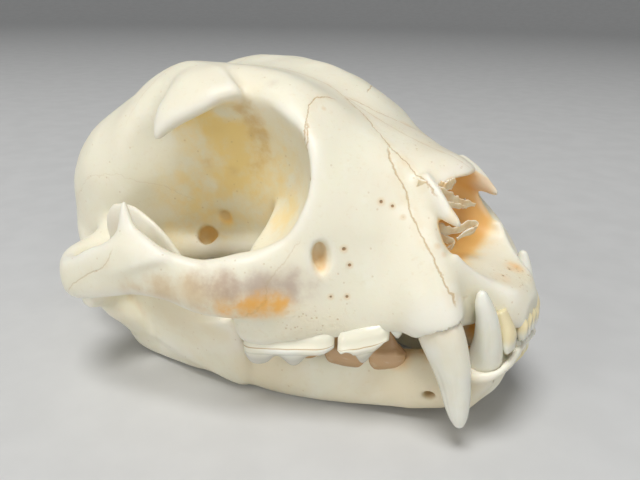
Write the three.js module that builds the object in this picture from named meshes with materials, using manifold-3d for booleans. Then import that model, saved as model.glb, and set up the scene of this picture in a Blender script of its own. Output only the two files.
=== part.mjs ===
// Lynx skull with its lower jaw closed, resting on the jaw, life size.
// Millimetres, +Z up, snout towards -Y, the animal's left towards +X.
// The two halves of the skull mirror each other across the plane x = 0.

import * as THREE from "three";
import { mergeVertices } from "three/addons/utils/BufferGeometryUtils.js";
import Module from "manifold-3d";

const manifoldLibrary = await Module();
manifoldLibrary.setup();

// ---------------------------------------------------------------- driving sizes

const GAP = 0.35;                  // clear space between neighbouring bones and teeth
const HINGE_ROOM = 0.9;            // clear space round the jaw's hinge
const LEFT = 1;
const RIGHT = -1;

const SNOUT_Y = -71;               // front of the premaxillae
const NAPE_Y = 71;                 // rear of the nuchal crest
const CROWN_Z = 78.4;              // highest point of the forehead
const TABLE_Z = 0;                 // the lower jaw rests here
const ARCH_X = 48;                 // half the width across the cheek arches

const BONE_COLOUR = "#e9e1cd";
const ENAMEL_COLOUR = "#f1ecdf";

// ---------------------------------------------------------------- solids from surfaces

/** A closed solid from indexed points; its faces are turned outward if they point in. */
function solidFrom(points, triangles) {
  let volume = 0;
  for (const [a, b, c] of triangles) {
    volume += points[a].dot(new THREE.Vector3().crossVectors(points[b], points[c]));
  }
  const outward = volume < 0 ? triangles.map(([a, b, c]) => [a, c, b]) : triangles;
  const geometry = new THREE.BufferGeometry();
  geometry.setAttribute("position", new THREE.Float32BufferAttribute(points.flatMap((p) => p.toArray()), 3));
  geometry.setIndex(outward.flat());
  return solidOf(geometry);
}

/** A manifold solid from any closed three.js geometry. */
function solidOf(geometry) {
  const bare = geometry.clone();
  bare.deleteAttribute("normal");
  bare.deleteAttribute("uv");
  const merged = mergeVertices(bare, 1e-4);
  return new manifoldLibrary.Manifold(new manifoldLibrary.Mesh({
    numProp: 3,
    vertProperties: new Float32Array(merged.attributes.position.array),
    triVerts: new Uint32Array(merged.index.array),
  }));
}

/** Rings of equal count joined in turn, each end closed by a fan to its middle. */
function loft(rings) {
  const count = rings[0].length;
  const points = rings.flat();
  const triangles = [];
  for (let row = 0; row + 1 < rings.length; row += 1) {
    for (let step = 0; step < count; step += 1) {
      const here = row * count + step;
      const next = row * count + ((step + 1) % count);
      triangles.push([here, next, next + count], [here, next + count, here + count]);
    }
  }
  for (const [row, flip] of [[0, true], [rings.length - 1, false]]) {
    const middle = new THREE.Vector3();
    rings[row].forEach((p) => middle.addScaledVector(p, 1 / count));
    points.push(middle);
    for (let step = 0; step < count; step += 1) {
      const here = row * count + step;
      const next = row * count + ((step + 1) % count);
      triangles.push(flip ? [next, here, points.length - 1] : [here, next, points.length - 1]);
    }
  }
  return solidFrom(points, triangles);
}

/** Smooth values between stations: each station is a list of numbers, t runs from 0 to 1. */
function between(stations, t) {
  const position = t * (stations.length - 1);
  const start = Math.min(Math.floor(position), stations.length - 2);
  const f = position - start;
  const [p0, p1, p2, p3] = [-1, 0, 1, 2].map(
    (offset) => stations[THREE.MathUtils.clamp(start + offset, 0, stations.length - 1)]);
  return p1.map((_, k) => 0.5 * (2 * p1[k] + (p2[k] - p0[k]) * f
    + (2 * p0[k] - 5 * p1[k] + 4 * p2[k] - p3[k]) * f * f
    + (3 * p1[k] - p0[k] - 3 * p2[k] + p3[k]) * f * f * f));
}

/**
 * A limb of bone along a smooth path. Each station is [x, y, z, half width, half height].
 * The section is an oval square to the path, its height nearest to the direction `up`;
 * `box` under 1 squares it off, and `share` is how much of the path is made.
 */
function limb(side, stations, { steps = 14, around = 8, up = [0, 0, 1], box = 1, share = 1 } = {}) {
  const upward = new THREE.Vector3(side * up[0], up[1], up[2]);
  const centre = (t) => {
    const [x, y, z] = between(stations, THREE.MathUtils.clamp(t, 0, 1));
    return new THREE.Vector3(side * x, y, z);
  };
  const rings = [];
  for (let step = 0; step <= steps; step += 1) {
    const t = share * step / steps;
    const [, , , halfWidth, halfHeight] = between(stations, t);
    const along = centre(t + 0.02).sub(centre(t - 0.02)).normalize();
    const across = new THREE.Vector3().crossVectors(along, upward).normalize().multiplyScalar(side);
    const high = new THREE.Vector3().crossVectors(across, along).multiplyScalar(side);
    const ring = [];
    for (let k = 0; k < around; k += 1) {
      const angle = (2 * Math.PI * k) / around;
      const c = Math.sign(Math.cos(angle)) * Math.abs(Math.cos(angle)) ** box;
      const s = Math.sign(Math.sin(angle)) * Math.abs(Math.sin(angle)) ** box;
      ring.push(centre(t).addScaledVector(across, c * halfWidth).addScaledVector(high, s * halfHeight));
    }
    rings.push(ring);
  }
  return loft(rings);
}

/** An egg-shaped solid: centre, three half lengths, and an optional turn as [axis, degrees]. */
function egg(side, [x, y, z], radii, turn = null, detail = [18, 12]) {
  const geometry = new THREE.SphereGeometry(1, detail[0], detail[1]);
  geometry.scale(...radii);
  if (turn) {
    const [axis, degrees] = turn;
    geometry.applyQuaternion(new THREE.Quaternion().setFromAxisAngle(
      new THREE.Vector3(axis[0], side * axis[1], side * axis[2]).normalize(),
      THREE.MathUtils.degToRad(degrees)));
  }
  geometry.translate(side * x, y, z);
  return solidOf(geometry);
}

/** A block between two corners. */
function block(low, high) {
  const size = high.map((value, k) => value - low[k]);
  const geometry = new THREE.BoxGeometry(...size);
  geometry.translate(...low.map((value, k) => value + size[k] / 2));
  return solidOf(geometry);
}

/**
 * A symmetrical hull of bone, like a ship's: each station gives y and the left half of a
 * cross-section as [x, z] pairs, from the middle of the roof to the middle of the floor.
 */
function hull(stations, { steps = 26, around = 26 } = {}) {
  const flat = stations.map(({ y, outline }) => [y, ...outline.flat()]);
  const rings = [];
  for (let step = 0; step <= steps; step += 1) {
    const [y, ...numbers] = between(flat, step / steps);
    const half = [];
    for (let k = 0; k < numbers.length; k += 2) {
      half.push(new THREE.Vector3(numbers[k], y, numbers[k + 1]));
    }
    const mirrored = half.slice(1, -1).reverse().map((p) => new THREE.Vector3(-p.x, p.y, p.z));
    const section = new THREE.CatmullRomCurve3([...half, ...mirrored], true, "centripetal");
    const ring = [];
    for (let k = 0; k < around; k += 1) {
      ring.push(section.getPointAt(k / around));
    }
    rings.push(ring);
  }
  return loft(rings);
}

const joined = (solids) => solids.reduce((sum, solid) => sum.add(solid));
const bothSides = (make) => make(LEFT).add(make(RIGHT));

// ---------------------------------------------------------------- the lines of the skull

// Snout and face: roof, nasal edge, cheek, widest, gum, palate, middle of the palate.
const SNOUT_LINES = [
  { y: SNOUT_Y, outline: [[0, 33.5], [2.2, 33.2], [4.2, 31.5], [4.8, 29.5], [4.2, 27.2], [2.2, 26], [0, 26]] },
  { y: -68.5, outline: [[0, 36.6], [3.2, 36.8], [6, 36], [7.6, 32.5], [7.4, 28.2], [3.5, 27], [0, 27]] },
  { y: -65, outline: [[0, 39], [4.5, 39.6], [8, 38.8], [9.8, 34], [9.6, 28.2], [4.5, 27.6], [0, 28]] },
  { y: -61.5, outline: [[0, 44], [6, 44.2], [10.4, 41.8], [12.8, 35.5], [12, 28.6], [6, 28.2], [0, 28.4]] },
  { y: -58, outline: [[0, 51], [7, 50.4], [12, 46.4], [17.2, 38.5], [18.6, 29.6], [9, 28.2], [0, 28.6]] },
  { y: -54.5, outline: [[0, 58.6], [7.4, 55.8], [13, 49.6], [19, 40.5], [21, 29], [11, 27.8], [0, 28.4]] },
  { y: -50, outline: [[0, 61.4], [8, 58.8], [14, 51.6], [20, 41], [21.8, 28], [12, 27.4], [0, 28.2]] },
  { y: -44, outline: [[0, 63], [9, 61], [15.6, 53.4], [21.2, 42], [23, 26], [14, 27], [0, 28]] },
  { y: -38, outline: [[0, 64.8], [10.4, 63.4], [18.6, 56.4], [24.4, 43], [26.4, 24.6], [17, 26.6], [0, 27.8]] },
  { y: -32, outline: [[0, 66.8], [11.2, 66.2], [21, 60.6], [28.2, 46], [29.6, 23.4], [19, 26.2], [0, 27.4]] },
  { y: -26, outline: [[0, 69.4], [11.8, 69.8], [22.4, 65.4], [30.8, 47], [32.4, 22], [20.5, 25.8], [0, 27]] },
  { y: -20, outline: [[0, 72], [12.2, 73.4], [21.2, 68.8], [34, 45], [34.4, 20.4], [21.8, 25.4], [0, 26.6]] },
  { y: -13.5, outline: [[0, 74.4], [12.4, 75.8], [18.6, 71], [32.8, 43], [32.6, 21.4], [21.6, 25], [0, 26]] },
  { y: -8.5, outline: [[0, 73], [11, 73], [15, 68], [20, 44], [21, 31], [13.5, 28], [0, 27.4]] },
];

// Forehead, walls between the orbits and braincase: roof, boss, brow, waist, side, base, floor.
const CASE_LINES = [
  { y: -30, outline: [[0, 66.8], [9, 66.8], [17, 61.5], [14, 52], [13, 44], [10, 33], [0, 30]] },
  { y: -21, outline: [[0, 71.6], [11, 73.2], [19.6, 68], [13.2, 58], [12.4, 46], [10, 33.5], [0, 29]] },
  { y: -12, outline: [[0, 75.2], [12, 77], [18.4, 72.6], [12.6, 61], [11.4, 46], [9, 33], [0, 28]] },
  { y: -3, outline: [[0, 76.8], [13, CROWN_Z], [19.2, 73.4], [13.2, 62], [11.8, 46], [8.6, 32], [0, 27]] },
  { y: 6, outline: [[0, 77.2], [14.4, CROWN_Z + 0.4], [24, 74.6], [17, 62], [13.6, 46], [9, 31], [0, 26.6]] },
  { y: 13, outline: [[0, 77], [15.4, 79], [23, 73.2], [19.6, 61.4], [16, 46], [10.5, 30], [0, 26]] },
  { y: 20, outline: [[0, 76], [15, 77.8], [22.6, 71], [23.2, 59.5], [21.4, 46], [14, 29.5], [0, 25.4]] },
  { y: 27, outline: [[0, 74.2], [14.6, 74.8], [24.2, 67.4], [27.6, 56], [27.4, 44.5], [19, 29], [0, 24.6]] },
  { y: 34, outline: [[0, 71.6], [14.2, 70.4], [24.2, 63.4], [29.2, 53.4], [29.8, 43], [24, 28.6], [0, 24]] },
  { y: 41, outline: [[0, 68.2], [13.2, 66.6], [23.8, 61], [29.4, 51.6], [30.2, 41.2], [27.6, 28], [0, 23.4]] },
  { y: 48, outline: [[0, 63.8], [11.8, 62], [21.8, 57.4], [27.2, 49.2], [28.2, 39.6], [25.4, 27.4], [0, 23]] },
  { y: 55, outline: [[0, 58.2], [9.8, 56.4], [18, 52], [22.6, 45.4], [23, 38.2], [20.4, 25.6], [0, 22.4]] },
  { y: 62, outline: [[0, 52], [7.6, 50.4], [12.6, 46.6], [15.8, 42.4], [16.6, 37], [15, 26.6], [0, 23]] },
  { y: 67, outline: [[0, 47.6], [5.4, 46.8], [9, 44.4], [11.4, 41], [12, 36.6], [11, 28.6], [0, 26]] },
  { y: NAPE_Y, outline: [[0, 43.6], [2.6, 43.2], [5, 42], [6.2, 40], [6, 37.6], [4, 35.6], [0, 35]] },
];

// The orbit is a hollow egg whose axis points outward, forward and up.
const ORBIT_CENTRE = [34, -7.5, 58.2];
const ORBIT_RADII = [25, 22, 20.2];
const ORBIT_TILT = -30;
const ORBIT_SWING = 25;

// Cheek arch, from the maxilla round to the side of the braincase: x, y, z, half width, half height.
const ARCH_PATH = [
  [23.4, -31, 35.6, 2, 5], [29.4, -25.4, 35.4, 3.8, 8.4], [36, -19.2, 35.6, 4.2, 7.6],
  [41, -11, 35, 3.3, 6.4], [44.2, -3, 36.6, 2.6, 5.9], [46.2, 5, 37.2, 2.4, 6.3],
  [ARCH_X - 0.6, 13, 34.8, 2.3, 6.2], [ARCH_X, 20.5, 31.6, 2.3, 5.4], [ARCH_X - 1.4, 27, 29.8, 2.8, 5.2],
  [41.5, 31.4, 30, 3.8, 5], [33.5, 31.4, 31.4, 5, 4.8], [25, 31.4, 33.4, 6.6, 6],
];

const JUGAL_SPIKE = [
  [46, 4.5, 38, 2.2, 9.6], [45.5, 6.4, 42.4, 1.9, 6.2], [44.9, 7.6, 45.6, 1.4, 2.9],
  [44.2, 8.5, 48.8, 1, 1.5], [43.6, 9.2, 52.2, 0.5, 0.5],
];
const BROW_SPIKE = [
  [17, 3, 74.2, 3.6, 9.6], [23, 5.6, 72.8, 3.2, 7.8], [27.8, 8.6, 68.8, 2.4, 4.8],
  [30.2, 10.2, 65.2, 1.6, 2.4], [31.4, 11, 62.6, 0.6, 0.7],
];

// Nose: the opening tapers inward, and each nasal bone ends in a spike over it.
const NOSE_OPENING = [
  [0, -77, 45, 14, 11], [0, -64, 46.8, 12.8, 9], [0, -57, 48.6, 13.2, 9.2],
  [0, -50, 49.8, 11, 8.4], [0, -43, 50.4, 7.6, 7], [0, -36, 51, 3.6, 3.4],
];
// The notch under each nasal bone's point, and the point itself.
const NOSE_NOTCH = [
  [12.6, -50.2, 53.2, 3, 0.3], [13, -51.8, 51.8, 3, 0.7], [13.4, -53.4, 50.2, 3.4, 1.4],
  [13.6, -55.4, 48.6, 3.8, 2.3], [13.6, -58, 46.8, 4, 3.2],
];
const NASAL_SPIKE = [
  [9.6, -46, 57, 1.4, 3.8], [11.3, -50.4, 54.9, 1.3, 2.8], [12.3, -53.6, 52.8, 1.1, 1.8],
  [12.6, -55.8, 51.5, 0.9, 1.2], [12.7, -57.5, 50.3, 0.45, 0.45],
];
// The swelling of the maxilla over the root of the canine.
const CANINE_SWELLING = [
  [14.6, -43, 49, 1.5, 3], [16, -48.6, 42, 3.6, 5.6], [18, -53.4, 35.8, 4.4, 6.6],
  [18.9, -56.2, 31, 4.6, 6.5], [18.9, -57.2, 28.8, 4, 5.6],
];

// Underside: bullae, hooked pterygoid plates, mastoid knobs, condyles and the great foramen.
const BULLA = { centre: [16.6, 40, 24.4], radii: [8.6, 13.4, 10.6], turn: [[0, 0, 1], -14] };
const EAR_HOLE = [[30, 35, 30, 2.6, 3], [24, 36, 28, 2.2, 2.6], [20, 37, 27, 1.6, 2]];
const PTERYGOID = [
  [9.4, -14, 26, 2, 5.4], [8.6, -4, 25, 1.3, 6.4], [8.4, 6, 24, 1.1, 6.4],
  [8.6, 13, 22, 1.1, 4.8], [9.2, 17.4, 18.4, 0.8, 1.8],
];
const MASTOID = [[24, 45, 32, 4.2, 6], [27.4, 43, 28, 3.2, 4.2], [28, 42.6, 23.6, 1.6, 2]];
const PARAMASTOID = [[15, 56, 27, 3, 4], [16, 55.4, 22, 2.2, 3], [16.4, 54.4, 17.6, 0.9, 1.2]];
const CONDYLE_KNOB = [[6, 61, 21.6, 3.4, 3.2], [9, 64.4, 25, 3.8, 4.2], [9.4, 63.4, 30.6, 2.6, 3]];
const GREAT_FORAMEN = [[0, 78, 28.6, 7.4, 6.4], [0, 64, 29.4, 6.8, 6], [0, 54, 32, 5, 5]];
const POSTGLENOID = [[31, 33.6, 28, 6, 2.6], [32, 33.8, 23, 5, 2], [32.4, 33.4, 19.6, 2, 1]];
const NUCHAL_RIDGE = [
  [0.2, NAPE_Y - 1.4, 42.6, 1.4, 1.8], [8.4, 68, 41.8, 1.3, 2.4], [15.2, 62.6, 39, 1.2, 2.6],
  [20.4, 56, 36, 1.2, 2.6], [25.2, 48.6, 32, 1.4, 2.6], [27.6, 43.6, 28.4, 1.6, 2],
];
const CROWN_RIDGE = [
  [0, 40, 66.4, 0.8, 1], [0, 50, 61, 1, 1.6], [0, 60, 54.2, 1, 1.8], [0, NAPE_Y - 2.6, 46, 1, 1.6],
];
const CHEEK_HOLE = [[31.6, -36.8, 42.4, 2.3, 3.9], [28, -33, 43, 2, 3.5], [24.5, -28.5, 43.6, 1.4, 2.6]];

// ---------------------------------------------------------------- teeth

// Canines: x, y, z of the middle line, half width across the jaw, half width along it.
const UPPER_CANINE = [
  [18.8, -54.6, 34.4, 2.4, 3.6], [18.9, -57.2, 29, 3.6, 5.2],
  [18.6, -60, 22.4, 3.3, 4.5], [18.2, -61.4, 17.2, 2.9, 3.6], [17.9, -62.3, 12.4, 2.5, 2.9],
  [17.8, -63, 8.8, 1.8, 2], [17.8, -63.5, 6.4, 0.8, 0.8],
];
const LOWER_CANINE = [
  [9.3, -62, 12, 2.2, 2.6], [9.6, -63.7, 16.4, 3.1, 3.5], [10.3, -65, 21.4, 3.2, 3.7],
  [11.4, -65.4, 26, 2.8, 3.1], [12.6, -65, 31.4, 2.3, 2.4], [13.6, -64.1, 35.4, 1.75, 1.75],
  [14, -63.6, 38.2, 0.8, 0.8],
];

// Cheek teeth as blades: x, y, z of the cutting edge, half width at the gum.
const GUM_RISE = 7;
const BLADE_SECTION = [[-0.9, 1], [0.9, 1], [1, 0.4], [0.1, 0], [-1, 0.4]];   // out, rise to the gum
const BLADE_TWIST = 0.25;          // the tooth row runs outward as it runs back
const UPPER_PREMOLAR = [
  [22.4, -47.2, 24.6, 1.2], [23.4, -44.6, 21.6, 2.4], [24.4, -42.4, 18.4, 2.7],
  [25.8, -39.6, 21.2, 2.4], [27.2, -36.6, 22.6, 1.4],
];
const UPPER_CARNASSIAL = [
  [27.8, -35.6, 22.2, 1.6], [28.4, -32.6, 19.2, 2.7], [29, -30.4, 18.8, 3], [29.8, -27.4, 14.6, 3.4],
  [31, -23.6, 17.4, 3], [32.2, -20.6, 14.6, 2.8], [33.2, -17.6, 14, 2.2], [33.8, -15.8, 17.6, 1.2],
];
const LOWER_PREMOLARS = [
  [14.2, -47.8, 18, 1.2], [15, -45.6, 20.6, 2], [15.8, -43.2, 23.2, 2.2], [17, -40, 19.8, 1.7],
  [17.8, -37.6, 19.6, 1.8], [18.8, -34.2, 24.4, 2.4], [20, -30.4, 20, 2],
];
const LOWER_CARNASSIAL = [
  [20.4, -28.8, 19.6, 1.6], [21.4, -25, 24.2, 2.3], [22.2, -21.4, 20.6, 2.3],
  [23.2, -17.6, 24.4, 2.1], [24, -14.6, 18.6, 1.2],
];

/** A cheek tooth: a blade from the gum to its scalloped cutting edge; `way` is -1 for an upper one. */
function blade(side, stations, way, steps) {
  const rings = [];
  for (let step = 0; step <= steps; step += 1) {
    const [x, y, edge, halfWidth] = between(stations, step / steps);
    rings.push(BLADE_SECTION.map(([out, rise]) => new THREE.Vector3(
      side * (x + out * halfWidth), y - out * halfWidth * BLADE_TWIST, edge - way * rise * GUM_RISE)));
  }
  return loft(rings);
}

/** One peg-like incisor, from its root to its edge. */
function incisor(side, [x, y, z], rootZ, halfWidth) {
  return limb(side, [
    [x * 0.96, y + 2.4, rootZ, halfWidth * 0.8, 1.5], [x, y + 0.6, (rootZ + z) / 2, halfWidth, 1.5],
    [x, y, z, halfWidth * 0.92, 0.7],
  ], { steps: 2, around: 5, up: [0, 1, 0] });
}

const UPPER_ROOT_Z = 30;
const LOWER_ROOT_Z = 17;
const UPPER_INCISORS = [[1.5, -71, 24.6, 1.05], [4.1, -70.4, 24.6, 1.25], [8.4, -69.2, 23.4, 2]];
const LOWER_INCISORS = [[1.2, -69.8, 23.6, 0.85], [3.2, -69.3, 23.6, 0.95], [5.2, -68.4, 23.4, 1.1]];

const CANINE_FACES = { steps: 9, around: 8, up: [0, 1, 0] };
const SOCKET_STEPS = 3;            // how many of the canine's steps its socket follows
const ROOT_ROOM = 0.12;            // how much longer a socket is than the root in it

/** A canine tooth. */
function canine(side, stations) {
  return limb(side, stations, CANINE_FACES);
}

/** The room that a canine needs: the tooth grown by a clearance, and a little deeper at its root. */
function room(side, stations, ease, faces) {
  const [root, neck] = stations;
  const deeper = root.map((value, k) => (k < 3 ? value + (value - neck[k]) * ROOT_ROOM : value));
  const grown = [deeper, ...stations.slice(1)].map(
    ([x, y, z, width, depth]) => [x, y, z, width + ease, depth + ease]);
  return limb(side, grown, faces);
}

/** The socket that a canine stands in. */
function socket(side, stations) {
  return room(side, stations, GAP,
    { ...CANINE_FACES, steps: SOCKET_STEPS, share: SOCKET_STEPS / CANINE_FACES.steps });
}

// ---------------------------------------------------------------- lower jaw

// Body of the jaw, from the chin to the angle: x, y, z, half width, half height.
const JAW_BODY = [
  [2.6, -68.6, 21, 2.5, 1.8], [3.9, -66.2, 18.5, 3.9, 3], [5.6, -62.6, 15, 5.1, 5.6],
  [7.9, -57.8, 12.2, 5, 6.8], [10.9, -50, 10.2, 4.4, 7.4], [14.6, -40, 9.3, 3.9, 7.6],
  [18.4, -28, 8.4, 3.9, 8.2], [21.4, -17, 8.4, 3.9, 8.4], [23.6, -7, 9.2, 3.7, 8.8],
  [25.2, 2, 9.8, 3.3, 9], [26.4, 11, 9.4, 2.9, 8.8], [26.8, 19, 7.6, 2.6, 7.3],
  [26.8, 25.4, 5.6, 2.1, 5.3], [27, 29.6, 4.6, 1, 2],
];
// Upright blade of the jaw, bottom to top: x, y, z, half thickness, half length.
const JAW_BLADE = [
  [26.2, 8, 6, 2.4, 17], [27.6, 6.6, 12, 2.4, 18.4], [29.6, 8.6, 18, 2.2, 18],
  [31.6, 9.4, 24, 1.9, 14.6], [33.4, 10.6, 29.6, 1.7, 12.2], [34.8, 13.4, 35, 1.6, 11.6],
  [35.8, 18, 39.6, 1.4, 10], [36.2, 21.6, 42.8, 1.1, 6.4], [36.3, 23.6, 44.6, 0.7, 2.6],
];
const JAW_NECK = [
  [27, 24.4, 4.4, 2, 3.4], [29.4, 24.4, 8.6, 2.4, 4.2], [32, 25.4, 13, 2.8, 4],
  [34.4, 26.6, 17.4, 4, 3.2], [35.4, 27.2, 21.2, 5, 2.8],
];
const JAW_HINGE = [
  [24.4, 28.2, 21.8, 2.2, 2], [28, 28, 22.4, 3.3, 3.2], [35, 27.4, 22.8, 3.6, 3.6],
  [41, 26.6, 22.4, 3.2, 3.2], [44, 26.2, 22, 1.8, 1.8],
];
// The swelling of the jaw round the root of its canine.
const JAW_SWELLING = [
  [9.6, -58.5, 7.4, 2.6, 3.6], [10, -60.4, 10.6, 3.8, 3.9], [10.2, -61.8, 14.2, 4.1, 4.3],
  [10.4, -63.2, 18, 4.1, 4.5],
];
const CHIN_HOLE = [[14.6, -54.4, 8.6, 1.6, 1.3], [10.6, -53.2, 9, 1.3, 1.1]];

// ---------------------------------------------------------------- the bones

function cranium() {
  const snout = hull(SNOUT_LINES, { steps: 15, around: 18 });
  const orbit = (side) => {
    const geometry = new THREE.SphereGeometry(1, 14, 9);
    geometry.scale(...ORBIT_RADII);
    geometry.rotateY(THREE.MathUtils.degToRad(ORBIT_TILT));
    geometry.rotateZ(THREE.MathUtils.degToRad(-ORBIT_SWING));
    geometry.translate(...ORBIT_CENTRE);
    if (side === RIGHT) {
      geometry.scale(-1, 1, 1);
      const order = geometry.index.array;
      for (let k = 0; k < order.length; k += 3) {
        [order[k], order[k + 1]] = [order[k + 1], order[k]];
      }
    }
    return solidOf(geometry);
  };
  const orbits = bothSides(orbit);
  const face = snout.subtract(orbits);
  const braincase = hull(CASE_LINES, { steps: 15, around: 17 });

  const arch = bothSides((side) => limb(side, ARCH_PATH, { steps: 13, around: 7, box: 0.85 }));
  const spikes = bothSides((side) => limb(side, JUGAL_SPIKE, { steps: 4, around: 7, up: [0, 1, 0] })
    .add(limb(side, BROW_SPIKE, { steps: 5, around: 7, up: [0, 1, 0] })));
  const underside = bothSides((side) => joined([
    egg(side, BULLA.centre, BULLA.radii, BULLA.turn, [8, 6]),
    limb(side, PTERYGOID, { steps: 7, around: 6 }),
    limb(side, MASTOID, { steps: 2, around: 6, up: [0, 1, 0] }),
    limb(side, PARAMASTOID, { steps: 2, around: 6, up: [0, 1, 0] }),
    limb(side, CONDYLE_KNOB, { steps: 5, around: 8, up: [0, 1, 0] }),
    limb(side, POSTGLENOID, { steps: 2, around: 6, up: [0, 1, 0] }),
    limb(side, CANINE_SWELLING, { steps: 5, around: 8, up: [0, 1, 0] }),
    limb(side, NUCHAL_RIDGE, { steps: 6, around: 5 }),
  ]));
  const crest = limb(LEFT, CROWN_RIDGE, { steps: 5, around: 5 });

  const teeth = bothSides((side) => joined([
    blade(side, UPPER_PREMOLAR, -1, 8),
    blade(side, UPPER_CARNASSIAL, -1, 12),
    ...UPPER_INCISORS.map(([x, y, z, halfWidth]) => incisor(side, [x, y, z], UPPER_ROOT_Z, halfWidth)),
  ]));
  const nasals = bothSides((side) => limb(side, NASAL_SPIKE, { steps: 4, around: 6 }));

  const openings = joined([
    limb(LEFT, NOSE_OPENING, { steps: 6, around: 14, box: 0.7 }),
    bothSides((side) => limb(side, NOSE_NOTCH, { steps: 4, around: 6 })),
    limb(LEFT, GREAT_FORAMEN, { steps: 2, around: 9 }),
    bothSides((side) => limb(side, CHEEK_HOLE, { steps: 2, around: 7 })),
    bothSides((side) => limb(side, EAR_HOLE, { steps: 2, around: 7 })),
    bothSides((side) => limb(side, JAW_HINGE.map(
      ([x, y, z, w, h]) => [x, y, z, w + HINGE_ROOM, h + HINGE_ROOM]), { steps: 4, around: 8 })),
  ]);
  const sockets = bothSides((side) => socket(side, UPPER_CANINE));
  const lowerCanineNotch = bothSides((side) => room(side, LOWER_CANINE, 2 * GAP,
    { ...CANINE_FACES, steps: 6 }));

  return joined([face, braincase, arch, spikes, underside, crest, teeth])
    .subtract(openings)
    .add(nasals)
    .subtract(sockets)
    .subtract(lowerCanineNotch);
}

function mandible(side) {
  const body = limb(side, JAW_BODY, { steps: 13, around: 8, box: 0.85 });
  const upright = limb(side, JAW_BLADE, { steps: 9, around: 8, up: [0, 1, 0], box: 0.8 });
  const neck = limb(side, JAW_NECK, { steps: 4, around: 7, up: [0, 1, 0] });
  const hinge = limb(side, JAW_HINGE, { steps: 4, around: 8 });
  const teeth = joined([
    blade(side, LOWER_PREMOLARS, 1, 8),
    blade(side, LOWER_CARNASSIAL, 1, 6),
    ...LOWER_INCISORS.map(([x, y, z, halfWidth]) => incisor(side, [x, y, z], LOWER_ROOT_Z, halfWidth)),
  ]);
  const innerSide = side * GAP / 2;
  const outerSide = side * 2 * ARCH_X;
  const ownHalf = block(
    [Math.min(innerSide, outerSide), SNOUT_Y - 10, TABLE_Z],
    [Math.max(innerSide, outerSide), NAPE_Y, CROWN_Z]);
  const swelling = limb(side, JAW_SWELLING, { steps: 3, around: 8, up: [0, 1, 0] });
  return joined([body, upright, neck, hinge, swelling, teeth])
    .subtract(limb(side, CHIN_HOLE, { steps: 3, around: 8 }))
    .intersect(ownHalf)
    .subtract(socket(side, LOWER_CANINE));
}

// ---------------------------------------------------------------- the model

const bone = new THREE.MeshStandardMaterial({ color: BONE_COLOUR, roughness: 0.55, metalness: 0 });
const enamel = new THREE.MeshStandardMaterial({ color: ENAMEL_COLOUR, roughness: 0.3, metalness: 0 });

const SLIVER = 0.1;                // corners closer than this to their neighbours' plane go

/** A named mesh from a solid, keeping only its one main body. */
function mesh(name, solid, material) {
  const largest = solid.simplify(SLIVER).decompose().sort((a, b) => b.volume() - a.volume())[0];
  const { vertProperties, triVerts } = largest.getMesh();
  const geometry = new THREE.BufferGeometry();
  geometry.setAttribute("position", new THREE.BufferAttribute(new Float32Array(vertProperties), 3));
  geometry.setIndex(new THREE.BufferAttribute(new Uint32Array(triVerts), 1));
  geometry.computeVertexNormals();
  const piece = new THREE.Mesh(geometry, material);
  piece.name = name;
  return piece;
}

const skull = new THREE.Group();
skull.add(mesh("cranium", cranium(), bone));
for (const [side, word] of [[LEFT, "left"], [RIGHT, "right"]]) {
  skull.add(mesh(`mandible_${word}`, mandible(side), bone));
  skull.add(mesh(`upper_canine_${word}`, canine(side, UPPER_CANINE), enamel));
  skull.add(mesh(`lower_canine_${word}`, canine(side, LOWER_CANINE), enamel));
}

// The origin is the middle of the skull's bounding box, at the level it rests on.
const reach = new THREE.Box3().setFromObject(skull);
const middle = reach.getCenter(new THREE.Vector3());
skull.position.set(-middle.x, -middle.y, -reach.min.z);
skull.updateMatrixWorld(true);

export default skull;
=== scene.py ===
"""Lynx skull with closed jaws, resting on its lower jaw.

The bones branch and melt into each other, so each is drawn as smooth limbs and hulls (grid
surfaces worked out with numpy), turned into distances in a block of small cubes, melted
together there, and skinned again. The teeth and the scrolls of the nose are grid surfaces.
Drawing sizes are millimetres; +Z up, snout towards -Y, the animal's left towards +X.
"""

import bpy
import numpy as np
import openvdb as vdb
from mathutils import Matrix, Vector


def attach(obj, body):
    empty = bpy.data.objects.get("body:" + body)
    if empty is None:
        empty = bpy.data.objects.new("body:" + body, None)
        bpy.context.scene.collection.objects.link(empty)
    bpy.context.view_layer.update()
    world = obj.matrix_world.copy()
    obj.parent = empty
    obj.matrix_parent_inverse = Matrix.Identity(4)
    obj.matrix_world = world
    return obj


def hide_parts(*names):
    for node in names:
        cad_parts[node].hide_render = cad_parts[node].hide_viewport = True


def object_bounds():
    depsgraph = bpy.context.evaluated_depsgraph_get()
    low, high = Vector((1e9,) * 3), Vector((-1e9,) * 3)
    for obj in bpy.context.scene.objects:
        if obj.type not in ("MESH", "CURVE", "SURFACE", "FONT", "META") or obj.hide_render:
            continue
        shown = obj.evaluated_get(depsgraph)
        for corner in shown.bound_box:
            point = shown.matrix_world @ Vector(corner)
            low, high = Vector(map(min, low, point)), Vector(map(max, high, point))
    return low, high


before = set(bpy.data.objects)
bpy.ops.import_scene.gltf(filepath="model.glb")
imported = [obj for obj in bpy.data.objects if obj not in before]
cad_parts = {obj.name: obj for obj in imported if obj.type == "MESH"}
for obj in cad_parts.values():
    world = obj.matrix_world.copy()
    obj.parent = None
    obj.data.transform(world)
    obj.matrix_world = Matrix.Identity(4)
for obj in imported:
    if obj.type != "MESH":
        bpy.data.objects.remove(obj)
cad_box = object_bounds()

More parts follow.
